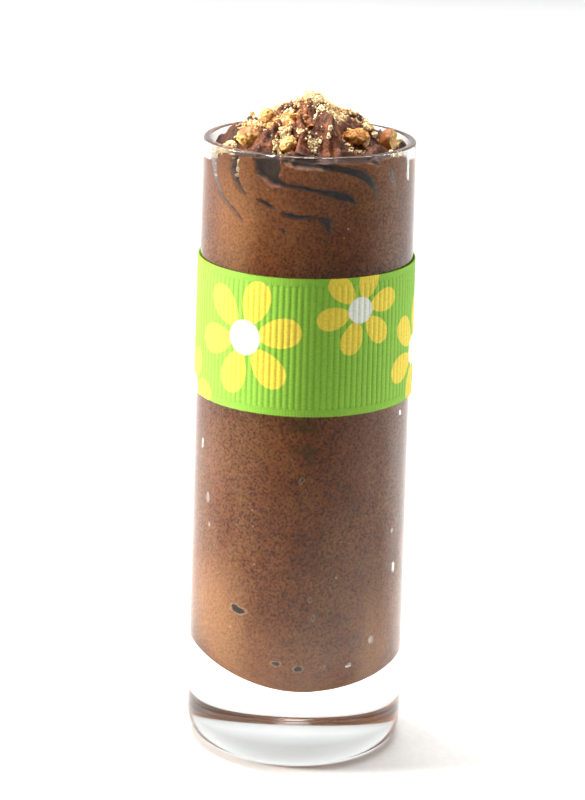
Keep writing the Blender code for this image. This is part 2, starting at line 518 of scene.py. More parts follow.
@dataclass(frozen=True)
class WhippedChocolate(Finish):
    """Chocolate mousse, whipped and piped: soft satin brown, mottled, with pores of broken bubbles."""

    name: str = "chocolate_mousse_whipped"
    specular: float = 0.2
    relief: float = 0.8
    drift_size: float = 7.0 * MM
    drift_squash: float = 0.45
    blotch_size: float = 2.6 * MM
    fleck_size: float = 0.9 * MM
    grain_size: float = 0.4 * MM
    pore_size: float = 0.5 * MM
    pore_depth: float = 4.0
    relief_depth: float = 0.16 * MM
    pinhole_pitch: float = 2.1 * MM
    duller_from: float = 84 * MM
    duller_over: float = 20 * MM
    brown: Stops = ((0.28, "#7e4724"), (0.46, "#8b5029"), (0.58, "#93562e"), (0.76, "#9f6438"))
    torn: Stops = ((0.34, "#341a0d"), (0.5, "#68391f"), (0.68, "#965630"))
    # dark greyed browns: the painted shade of the mousse in the air gaps
    gap_painted_shade: Stops = ((0.40, "#3a2419"), (0.62, "#523a2c"))
    flecks: Stops = ((0.34, "#a8826a"), (0.48, "#f2e9e2"), (0.64, "#ffffff"))
    specks: Stops = ((0.36, "#85634a"), (0.52, "#ffffff"))

    def mottled(self, tree: Tree, spots: Socket, blotches: Socket, specks: Socket) -> Socket:
        """Mix the browns of the mousse under the surface: blotches, drifts, flecks, and pinholes with
        painted glints and painted shade.

        Args:
            tree: The material's node tree.
            spots: The Object coordinates.
            blotches: Noise of the size of a blotch.
            specks: White with fine brown specks.

        Returns:
            The colour.
        """
        body = ramp(tree, blotches, self.brown)
        squash = {"operation": "MULTIPLY", 1: (1.0, 1.0, self.drift_squash)}
        tall = add_node(tree, "VectorMath", squash, {0: spots}).outputs[0]
        drift = lumps(tree, tall, self.drift_size, 9.0, 0.68, 0.4)
        settled = maths(tree, "MULTIPLY_ADD", drift, 9.0, -4.3, held=True)
        body = blended(tree, maths(tree, "MULTIPLY", settled, 0.42), body, linear("#a06e3a"))
        flecks = ramp(tree, lumps(tree, spots, self.fleck_size, 3.0, 0.7), self.flecks)
        body = blended(tree, 0.42, body, flecks, "MULTIPLY")
        body = blended(tree, 0.60, body, specks, "MULTIPLY")
        body = self.pinhole_glints_and_shade(tree, spots, body)
        # a duller, less saturated brown higher up the wall
        height = add_node(tree, "SeparateXYZ", links={0: spots}).outputs[2]
        rate, start = 1 / self.duller_over, -self.duller_from / self.duller_over
        duller_up = maths(tree, "MULTIPLY_ADD", height, rate, start, held=True)
        return blended(tree, maths(tree, "MULTIPLY", duller_up, 0.4), body, linear("#8f6247"))

    def colour(self, tree: Tree, spots: Socket, grain: Socket) -> Socket:
        """Mix the whole colour: mottled on the glass, with painted light and shade from the stretches,
        painted grey shade in the gaps and in the top's low places, painted shade and highlights on the
        air pockets, and darker where it is torn.

        Args:
            tree: The material's node tree.
            spots: The Object coordinates.
            grain: Fine noise.

        Returns:
            The colour.
        """
        blotches = lumps(tree, spots, self.blotch_size, 6.0, 0.66, 0.6)
        specks = ramp(tree, grain, self.specks)
        body = self.mottled(tree, spots, blotches, specks)
        # painted light from the stretches: a tan tint where they are paler
        body = self.tinted(tree, body, "shade", 1.0, "#b08257", held=True)
        body = self.tinted(tree, body, "stain", 0.75, "#5c420f")
        torn = blended(tree, 0.75, ramp(tree, blotches, self.torn), specks, "MULTIPLY")
        body = blended(tree, self.value(tree, "top"), body, torn)
        # painted shade in the top's low places: along the edge by the glass and between the torn crests
        body = self.tinted(tree, body, "painted_hollow_shade", 0.85, "#321b10")
        body = self.tinted(tree, body, "film", 0.7, "#9a5218")
        # painted shade: the mousse in the air gaps behind the glass is darkened and greyed, as if in
        # shadow
        gap = maths(tree, "MULTIPLY", self.value(tree, "gap"), 1.3, held=True)
        body = blended(tree, gap, body, ramp(tree, blotches, self.gap_painted_shade))
        # painted pocket looks: a pale rim as a painted highlight round every air pocket, painted shade
        # in the closed ones, and a painted reflection of the bright room in the open ones
        bubble = self.value(tree, "bubble")
        outline = ramp(tree, bubble, ((0.15, "#000000"), (0.42, "#ffffff"), (0.62, "#ffffff")))
        body = blended(tree, maths(tree, "MULTIPLY", outline, 0.5), body, linear("#c09a78"))
        dark = maths(tree, "MULTIPLY_ADD", bubble, 5.0, -3.0, held=True)
        body = blended(tree, dark, body, linear("#2a1d17"))
        body = self.tinted(tree, body, "hollow", 0.8, "#f6f1ea")
        # the stretches also brighten or darken the whole colour: painted light and shade
        granular = maths(tree, "MULTIPLY_ADD", grain, 1.3, 0.35)
        bright = maths(tree, "MULTIPLY_ADD", self.value(tree, "shade"), 0.75, granular)
        links = {"Color": body, "Value": bright}
        return add_node(tree, "HueSaturation", links=links).outputs[0]

    def tinted(
        self, tree: Tree, body: Socket, name: str, strength: float, code: str, held: bool = False
    ) -> Socket:
        """Mix in a colour where a number stored on the mesh's points is above 0.

        Args:
            tree: The material's node tree.
            body: The colour elsewhere.
            name: The number's name.
            strength: How much of the colour a number of 1 brings.
            code: The colour as "#rrggbb".
            held: Whether the share is kept between 0 and 1.

        Returns:
            The mixed colour.
        """
        share = maths(tree, "MULTIPLY", self.value(tree, name), strength, held=held)
        return blended(tree, share, body, linear(code))

    def pinhole_glints_and_shade(self, tree: Tree, spots: Socket, body: Socket) -> Socket:
        """Scatter pin-prick air bubbles, most of them painted pale as glints of reflected light and
        some painted dark as shade.

        Args:
            tree: The material's node tree.
            spots: The Object coordinates.
            body: The colour round them.

        Returns:
            The colour with the pinholes.
        """
        cells = add_node(tree, "TexVoronoi", {"Scale": 1 / self.pinhole_pitch}, {"Vector": spots})
        luck = add_node(tree, "SeparateColor", links={0: cells.outputs["Color"]})
        size = maths(tree, "MULTIPLY_ADD", luck.outputs[0], 0.07, 0.03)
        near = maths(tree, "SUBTRACT", size, cells.outputs["Distance"])
        near = maths(tree, "MULTIPLY", near, 60.0, held=True)
        # painted glints: pale dots for the pinholes that catch the light
        pale = maths(tree, "GREATER_THAN", luck.outputs[1], 0.62)
        body = blended(tree, maths(tree, "MULTIPLY", near, pale), body, linear("#d8b596"))
        # painted shade: dark dots for the pinholes in shadow
        dim = maths(tree, "LESS_THAN", luck.outputs[1], 0.22)
        return blended(tree, maths(tree, "MULTIPLY", near, dim), body, linear("#3a2418"))

    def dress(self, tree: Tree, shader: bpy.types.Node) -> None:
        """Link the colour, and pit the surface with pores.

        Args:
            tree: The material's node tree.
            shader: The Principled shader.
        """
        spots = self.spots(tree)
        grain = lumps(tree, spots, self.grain_size, 3.0)
        pores = add_node(tree, "TexVoronoi", {"Scale": 1 / self.pore_size}, {"Vector": spots})
        pits = maths(tree, "SUBTRACT", 0.24, pores.outputs["Distance"], held=True)
        height = maths(tree, "SUBTRACT", grain, maths(tree, "MULTIPLY", pits, self.pore_depth))
        add_relief(tree, shader, height, self.relief, self.relief_depth)
        tree.links.new(self.colour(tree, spots, grain), shader.inputs["Base Color"])
        shader.inputs["Specular IOR Level"].default_value = self.specular
        shader.inputs["Roughness"].default_value = 0.55


class NutTone(Enum):
    """The looks of chopped nut: hex colours of the darkest, the main and the lightest part."""

    CREAM = ("#8a5c28", "#cb9a50", "#e9c98a")
    GOLDEN = ("#a5661f", "#e0a850", "#f6d88c")
    TOASTED = ("#824314", "#bd782d", "#e2b468")


@dataclass(frozen=True)
class BrokenNut(Finish):
    """Chopped nut kernel: dry, crumbly and pale where it broke, with tan skin where it didn't."""

    name: str = "nut_kernel_chopped"
    tone: NutTone = NutTone.CREAM
    cell_size: float = 0.45 * MM
    crumb_size: float = 0.16 * MM
    crumb_depth: float = 0.07 * MM

    def dress(self, tree: Tree, shader: bpy.types.Node) -> None:
        """Colour the kernel by its cells and its skin, and make it crumbly.

        Args:
            tree: The material's node tree.
            shader: The Principled shader.
        """
        spots = self.spots(tree)
        dark, main_tone, light = self.tone.value
        cells = lumps(tree, spots, self.cell_size, 4.0, 0.6)
        body = ramp(tree, cells, ((0.32, dark), (0.48, main_tone), (0.68, light)))
        skin = self.value(tree, "skin")
        veins = ramp(tree, cells, ((0.35, "#7c4012"), (0.6, "#ad6a2c")))
        crumb = lumps(tree, spots, self.crumb_size)
        add_relief(tree, shader, crumb, 0.7, self.crumb_depth)
        tree.links.new(blended(tree, skin, body, veins), shader.inputs["Base Color"])
        smoother = maths(tree, "MULTIPLY_ADD", skin, -0.25, 0.72)
        tree.links.new(smoother, shader.inputs["Roughness"])


@dataclass(frozen=True)
class NutMeal(Finish):
    """Crumbs of chopped nut and mousse-stained bits: each grain has its own tone."""

    name: str = "nut_crumbs_dry"
    cell_size: float = 0.2 * MM
    tones: Stops = (
        (0.00, "#432716"),
        (0.10, "#80532a"),
        (0.22, "#d08538"),
        (0.34, "#d9ae66"),
        (0.65, "#ead09a"),
        (1.00, "#faebc6"),
    )

    def dress(self, tree: Tree, shader: bpy.types.Node) -> None:
        """Colour each grain by its tone, and mottle it.

        Args:
            tree: The material's node tree.
            shader: The Principled shader.
        """
        body = ramp(tree, self.value(tree, "tone"), self.tones)
        cells = lumps(tree, self.spots(tree), self.cell_size)
        shade = ramp(tree, cells, ((0.3, "#ad9068"), (0.55, "#ffffff")))
        tree.links.new(blended(tree, 0.7, body, shade, "MULTIPLY"), shader.inputs["Base Color"])
        shader.inputs["Roughness"].default_value = 0.75


@dataclass(frozen=True)
class Daisy:
    """One printed flower, at a place on the flat ribbon, in metres along and across."""

    along: float
    across: float
    reach: float
    turn: float


@dataclass(frozen=True)
class PrintedGrosgrain(Finish):
    """Polyester grosgrain, woven in ribs across and screen printed: lime green, yellow daisies."""

    name: str = "polyester_grosgrain_printed"
    daisies: tuple[Daisy, ...] = ()
    ground: str = "#8cc23d"
    petal: str = "#eed648"
    eye: str = "#ecf0e6"
    petals_each: int = 6
    petal_middle: float = 0.63
    petal_half_length: float = 0.37
    petal_edge: float = 0.06
    eye_radius: float = 0.29
    eye_edge: float = 0.015
    thread_size: float = 0.35 * MM
    weft_pitch: float = 0.24 * MM
    weft_depth: float = 0.04 * MM

    def daisy(
        self, tree: Tree, along: Socket, across: Socket, flower: Daisy
    ) -> tuple[Socket, Socket]:
        """Draw one flower of round-ended petals round an eye.

        Args:
            tree: The material's node tree.
            along: Output with the distance along the ribbon.
            across: Output with the distance across it.
            flower: Where the flower is and how large.

        Returns:
            Where the petals are and where the eye is, each 0 or 1.
        """

        def squared(value: Socket) -> Socket:
            """Return a number times itself."""
            return maths(tree, "POWER", value, 2.0)

        x = maths(tree, "DIVIDE", maths(tree, "SUBTRACT", along, flower.along), flower.reach)
        y = maths(tree, "DIVIDE", maths(tree, "SUBTRACT", across, flower.across), flower.reach)
        angle = maths(tree, "SUBTRACT", maths(tree, "ARCTAN2", y, x), math.radians(flower.turn))
        folded = maths(tree, "PINGPONG", angle, math.pi / self.petals_each)
        out = maths(tree, "SQRT", maths(tree, "ADD", squared(x), squared(y)))
        side = maths(tree, "MULTIPLY", out, maths(tree, "SINE", folded))
        forward = maths(tree, "MULTIPLY", out, maths(tree, "COSINE", folded))
        middle = maths(tree, "SUBTRACT", forward, self.petal_middle)
        middle = maths(tree, "DIVIDE", middle, self.petal_half_length)
        widening = maths(tree, "MULTIPLY_ADD", middle, 0.045, 0.245)
        slimness = squared(maths(tree, "DIVIDE", side, widening))
        lobe = maths(tree, "ADD", squared(middle), slimness)
        within = maths(tree, "SUBTRACT", 1 + self.petal_edge, lobe)
        petals = maths(tree, "DIVIDE", within, 2 * self.petal_edge, held=True)
        within = maths(tree, "SUBTRACT", self.eye_radius + self.eye_edge, out)
        return petals, maths(tree, "DIVIDE", within, 2 * self.eye_edge, held=True)

    def dress(self, tree: Tree, shader: bpy.types.Node) -> None:
        """Print the daisies on the ground, paint shade between the ribs, and mottle the threads.

        Args:
            tree: The material's node tree.
            shader: The Principled shader.
        """
        flat = add_node(tree, "UVMap", {"uv_map": "cut"}).outputs[0]
        split = add_node(tree, "SeparateXYZ", links={0: flat})
        along, across = [
            maths(tree, "MULTIPLY", split.outputs[n], 1 / UV_PER_METRE) for n in (0, 1)
        ]
        body: Any = linear(self.ground)
        inked: Any = None
        for flower in self.daisies:
            petals, eye = self.daisy(tree, along, across, flower)
            body = blended(tree, petals, body, linear(self.petal))
            body = blended(tree, eye, body, linear(self.eye))
            inked = petals if inked is None else maths(tree, "MAXIMUM", inked, petals)
            inked = maths(tree, "MAXIMUM", inked, eye)
        # painted shade in the low places of the weave: the valleys between the ribs and the stitch line
        stops = ((0.0, "#5c7632"), (0.45, "#eef3e4"), (1.0, "#ffffff"))
        shade = ramp(tree, self.value(tree, "rib"), stops)
        # ink fills the ribs, so the shade between them is weaker on the flowers
        depth: Any = 0.8 if inked is None else maths(tree, "MULTIPLY_ADD", inked, -0.55, 0.85)
        body = blended(tree, depth, body, shade, "MULTIPLY")
        threads = lumps(tree, self.spots(tree), self.thread_size, 3.0)
        worn = ramp(tree, threads, ((0.3, "#d9ddd0"), (0.6, "#ffffff")))
        body = blended(tree, 0.5, body, worn, "MULTIPLY")
        tree.links.new(body, shader.inputs["Base Color"])
        weft = maths(tree, "MULTIPLY", across, math.tau / self.weft_pitch)
        add_relief(tree, shader, maths(tree, "SINE", weft), 0.25, self.weft_depth)
        shader.inputs["Roughness"].default_value = 0.62
        shader.inputs["Specular IOR Level"].default_value = 0.3


@dataclass(frozen=True)
class MattPaper(Finish):
    """Plain white background paper, uncoated: flat, bright and slightly warm."""

    name: str = "background_paper_uncoated"
    fibre_size: float = 1.2 * MM
    fade_rate: float = 1.6
    fade_start: float = 0.75

    def dress(self, tree: Tree, shader: bpy.types.Node) -> None:
        """Make it nearly white, with painted shade far behind, greyer where the light falls off.

        Args:
            tree: The material's node tree.
            shader: The Principled shader.
        """
        spots = self.spots(tree)
        fibres = lumps(tree, spots, self.fibre_size, 3.0)
        body = ramp(tree, fibres, ((0.3, "#f3f2f0"), (0.7, "#f8f7f5")))
        # painted shade: greyer far behind, where the lights fall off
        back = add_node(tree, "SeparateXYZ", links={0: spots}).outputs[1]
        far = maths(tree, "MULTIPLY_ADD", back, self.fade_rate, -self.fade_start, held=True)
        body = blended(tree, far, body, linear("#d9dadb"))
        tree.links.new(body, shader.inputs["Base Color"])
        shader.inputs["Roughness"].default_value = 0.9
        shader.inputs["Specular IOR Level"].default_value = 0.1


# ---------------------------------------------------------------- the glass


@dataclass(frozen=True)
class GlassForm:
    """The shot glass's driving sizes, and the radii that follow from them."""

    height: float = 0.105
    rim_radius: float = 0.01745
    foot_radius: float = 0.01865
    lip: float = 0.0012
    lip_crown: float = 0.0003
    wall_low: float = 0.0019
    foot_width: float = 0.0025
    foot_height: float = 0.0046
    base: float = 0.01035
    bowl_depth: float = 0.0120
    bowl_lean: float = 0.0021
    punt_radius: float = 0.0146
    punt_depth: float = 0.0012
    lean_start: float = 1 * MM
    lean_reach: float = 14 * MM
    lean_fade: float = 15 * MM

    def outside(self, up: Any) -> Any:
        """Return the outer radius at a height."""
        return mix(self.foot_radius, self.rim_radius, up / self.height)

    def inside(self, up: Any) -> Any:
        """Return the inner radius at a height above the bowl's rounding."""
        return self.outside(up) - mix(self.wall_low, self.lip, up / self.height)

    @property
    def bowl_top(self) -> float:
        """Return the height where the bowl's rounding meets the straight wall."""
        return self.base + self.bowl_depth

    def bowl(self, grown: float, steps: int) -> list[tuple[float, float]]:
        """Lay points along the bowl's rounding, from the axis to the wall.

        Args:
            grown: How far the arc lies inside the glass.
            steps: Number of stretches.

        Returns:
            Points as (across, up).
        """
        radii = (self.inside(self.bowl_top) + grown, self.bowl_depth + grown)
        return arc((0.0, self.bowl_top), radii, -90, 0, steps)

    def leaned(self, points: np.ndarray) -> np.ndarray:
        """Raise the bowl towards -X, as where the plunger stood a little askew in the mould.

        Args:
            points: Array of x, y, z on the bowl or on the inner wall.

        Returns:
            The points, those low on that side moved up.
        """
        side = np.clip((self.lean_start - points[..., 0]) / self.lean_reach, 0, 1) ** 1.5
        above = (points[..., 2] - self.bowl_top) / self.lean_fade
        moved = points.copy()
        moved[..., 2] += self.bowl_lean * side * (1 - smooth(above))
        return moved


@dataclass
class ShotGlass:
    """The tall glass, turned from one profile."""

    form: GlassForm
    finish: PressedGlass
    steps: int = 256
    bowl_steps: int = 28
    wall_points: int = 14
    lip_steps: int = 14
    foot_steps: int = 18
    punt_points: int = 13

    def profile(self) -> list[tuple[float, float]]:
        """Lay out the profile: up the bowl, over the lip, down the outside, in under the foot.

        Returns:
            Points as (across, up), both ends on the axis.
        """
        form = self.form
        half, crown = form.lip / 2, form.lip_crown
        edge = form.height - crown
        heights = np.linspace(form.bowl_top, edge, self.wall_points)[1:-1]
        # two rings close under the lip keep the shading of the wall straight up to it
        heights = np.append(heights, (edge - 0.8 * MM, edge - 0.15 * MM))
        points = form.bowl(0.0, self.bowl_steps)
        points += [(form.inside(up), up) for up in heights]
        points += arc((form.rim_radius - half, edge), (half, crown), 180, 0, self.lip_steps)
        points += [(form.outside(up), up) for up in heights[::-1]]
        corner = (form.outside(form.foot_height) - form.foot_width, form.foot_height)
        points += arc(corner, (form.foot_width, form.foot_height), 0, -90, self.foot_steps)
        inwards = np.linspace(form.punt_radius, 0.0, self.punt_points)
        points += [(a, form.punt_depth * (1 - (a / form.punt_radius) ** 2)) for a in inwards]
        points[0] = (0.0, points[0][1])
        points[-1] = (0.0, points[-1][1])
        return points

    def build(self) -> bpy.types.Object:
        """Turn the glass, lean its bowl and dress it.

        Returns:
            The glass.
        """
        piece = turned("shot_glass", self.profile(), self.steps)
        points = points_of(piece)
        middle_of_wall = self.form.inside(points[:, 2]) + 0.5 * self.form.lip
        within = across_of(points) < middle_of_wall
        bowl = within & (points[:, 2] > self.form.base - 0.1 * MM)
        points[bowl] = self.form.leaned(points[bowl])
        move_points(piece, points)
        piece.data.materials.append(self.finish.make())
        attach(piece, BODY)
        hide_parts("glass")
        return piece


# ---------------------------------------------------------------- the mousse


@dataclass(frozen=True)
class Gap:
    """Air between the piping and the glass.

    Each stop along its line is azimuth in degrees, millimetres below the rim, width in millimetres.
    The depth is 1 for an open gap, and less for one that a smear of mousse half closes.
    """

    stops: tuple[tuple[float, float, float], ...]
    depth: float = 1.0


def swept(azimuth: float, sweep: float, reach: float, bend: float, width: float) -> Gap:
    """Lay out a gap that runs from the rim down and round, and thins to a tail.

    Args:
        azimuth: Where it opens at the rim.
        sweep: Degrees that it runs round.
        reach: Millimetres that it runs down.
        bend: Above 1 it falls steeply first, below 1 it runs round first.
        width: Its width at the rim, in millimetres.

    Returns:
        The gap.
    """
    shares = np.linspace(0.0, 1.0, 9)
    return Gap(
        tuple(
            (azimuth + sweep * s**bend, reach * s, float(mix(width, 0.4, s**0.6))) for s in shares
        )
    )


@dataclass(frozen=True)
class Bubble:
    """An air pocket against the glass: azimuth and height, half sizes round and up, in millimetres."""

    azimuth: float
    up: float
    half_width: float
    half_height: float
    hollow: bool = True


@dataclass(frozen=True)
class Fin:
    """A torn crest of the piping that runs out from the middle, sizes in millimetres."""

    azimuth: float
    inner: float
    outer: float
    height: float
    half_width: float
    lean: float


@dataclass(frozen=True)
class Pressed:
    """A place where a nut chunk presses the ridges flat."""

    x: float
    y: float
    length: float


FRONT_GAPS = (
    Gap(((-93, 0.0, 5.0), (-93, 4.0, 4.4), (-92, 8.0, 3.0), (-91, 12.0, 0.8))),
    Gap(((-65, 1.2, 2.6), (-65, 3.0, 1.3), (-62, 5.4, 0.7), (-55, 8.3, 0.5), (-45, 9.9, 0.4))),
    Gap(((-45, 9.9, 0.4), (-39, 11.2, 0.3)), 0.6),
    Gap(((-45, 1.6, 1.2), (-46, 3.0, 1.5), (-43.5, 5.2, 1.0), (-40, 6.6, 0.6), (-37, 7.0, 0.3))),
    Gap(((-29, 7.7, 0.2), (-26, 7.9, 0.5), (-22, 8.5, 0.5), (-19, 8.8, 0.2))),
    Gap(((-14, 9.5, 0.2), (-10, 9.7, 0.6), (-4, 9.9, 0.6), (1, 9.8, 0.4), (4, 9.9, 0.2))),
    Gap(((7, 10.1, 0.9), (11, 10.7, 1.5), (12, 12.4, 0.5)), 0.6),
    Gap(((-25, -0.5, 4.8), (-23.5, 2.4, 4.0), (-20, 4.2, 1.9), (-13, 5.0, 0.4), (-4, 5.1, 0.5))),
    Gap(((-4, 5.1, 0.5), (4, 5.6, 0.5), (15, 6.2, 1.2), (23, 6.9, 1.2), (27, 7.8, 0.3)), 0.85),
    Gap(((-14, 1.0, 0.5), (-7, 1.5, 1.0), (5, 1.7, 0.9), (14, 1.9, 0.8), (22, 2.4, 1.0))),
    Gap(((22, 2.4, 1.0), (30, 3.1, 1.3), (36, 4.3, 1.3), (39, 5.4, 0.8), (40, 6.4, 0.3))),
    Gap(((24, 0.3, 0.8), (33, 0.6, 1.2), (38, 1.0, 1.3), (42, 1.8, 0.4))),
    Gap(((51, 3.2, 0.6), (53, 4.6, 0.5), (55.5, 6.1, 0.3)), 0.8),
    Gap(((68, 1.2, 0.9), (69.5, 3.2, 0.6), (69, 4.4, 0.8), (69.5, 5.4, 0.3)), 0.7),
    Gap(((-14, 12.0, 0.4), (-13, 12.5, 0.4)), 0.8),
)
BACK_GAPS = (
    swept(93, 50, 11.6, 2.1, 3.6),
    swept(119, 44, 7.4, 2.7, 4.2),
    swept(146, 38, 6.0, 0.6, 3.0),
    swept(178, 25, 10.2, 1.7, 3.2),
    swept(205, 48, 12.0, 2.1, 3.6),
    swept(232, 34, 7.8, 2.5, 4.2),
)
# the closed pockets, hollow False, are not carved: they are only painted, a dark painted shade with a
# pale painted rim
FRONT_BUBBLES = (
    Bubble(-33.9, 27.2, 1.55, 0.62, False),
    Bubble(-36.6, 27.7, 0.75, 0.5, False),
    Bubble(-11.2, 18.6, 0.85, 0.5, False),
    Bubble(1.9, 17.8, 0.85, 0.62, False),
    Bubble(16.5, 18.0, 0.4, 0.25, False),
    Bubble(1.1, 51.3, 0.32, 0.3, False),
    Bubble(0.2, 50.9, 0.22, 0.28, False),
    Bubble(7.3, 30.4, 0.22, 0.4, False),
    Bubble(9.3, 27.2, 0.2, 0.45, False),
    Bubble(-69.4, 54.3, 0.32, 0.3),
    Bubble(-69.9, 53.5, 0.25, 0.4),
    Bubble(-61.3, 45.0, 0.45, 0.75),
    Bubble(-59.4, 40.4, 0.28, 0.28),
    Bubble(68.8, 60.2, 0.3, 0.35),
    Bubble(63.3, 39.9, 0.3, 0.3),
    Bubble(65.9, 33.2, 0.4, 0.75),
    Bubble(46.8, 21.6, 0.5, 0.62),
    Bubble(33.0, 17.7, 0.5, 0.45),
)
FINS = (
    Fin(-58, 9.0, 14.5, 0.9, 1.4, 3),
    Fin(-34, 9.0, 15.8, 2.3, 2.2, -6),
    Fin(-9, 7.5, 16.0, 2.8, 2.6, 7),
    Fin(0, 2.6, 8.5, 1.5, 1.6, 16),
    Fin(18, 6.0, 16.0, 3.4, 2.9, 9),
    Fin(36, 2.6, 8.0, 1.3, 1.5, -16),
    Fin(48, 8.5, 15.8, 2.1, 2.5, 10),
    Fin(74, 8.5, 15.0, 0.6, 1.9, 5),
    Fin(112, 8.0, 14.5, 0.4, 1.9, -4),
    Fin(141, 8.5, 15.4, 0.9, 2.1, 3),
    Fin(171, 7.0, 15.6, 1.5, 2.3, -5),
    Fin(203, 8.5, 15.4, 1.0, 2.2, 4),
    Fin(236, 8.5, 14.5, 0.5, 1.9, -3),
    Fin(272, 9.0, 14.5, 0.3, 1.9, 5),
)


@dataclass(frozen=True)
class Patch:
    """A stretch of the wall where the mousse is paler, above 0, or darker: degrees, millimetres."""

    azimuth: float
    up: float
    half_width: float
    half_height: float
    tone: float


@dataclass(frozen=True)
class EdgeDip:
    """Where the mousse's top edge stands lower on the glass: degrees, and the drop in millimetres."""

    azimuth: float
    half_width: float
    drop: float


# paler stretches at the sides and low down are painted light, darker ones towards the middle painted
# shade; the small dark one at -4.1 degrees is a smudge in the mousse
PATCHES = (
    Patch(-46, 93, 22, 14, 0.42),
    Patch(-4.1, 34.8, 2.6, 1.5, -0.30),
    Patch(20, 83, 40, 9, -0.12),
    Patch(12, 50, 26, 18, -0.10),
    Patch(-58, 50, 16, 14, 0.14),
    Patch(-54, 25, 30, 16, 0.60),
    Patch(-10, 16, 40, 10, 0.12),
    Patch(52, 22, 18, 11, 0.36),
    Patch(74, 26, 12, 12, 0.30),
)
STAINS = (
    Patch(0, 60.5, 8, 1.6, 0.9),
    Patch(-1, 56.4, 7, 0.8, 0.8),
    Patch(5, 55.6, 3, 1.8, 0.9),
)
EDGE_DIPS = (
    EdgeDip(-84, 20, 2.0),
    EdgeDip(-23, 11, -0.6),
    EdgeDip(84, 16, 1.3),
    EdgeDip(150, 20, 0.8),
    EdgeDip(-140, 20, 0.9),
)


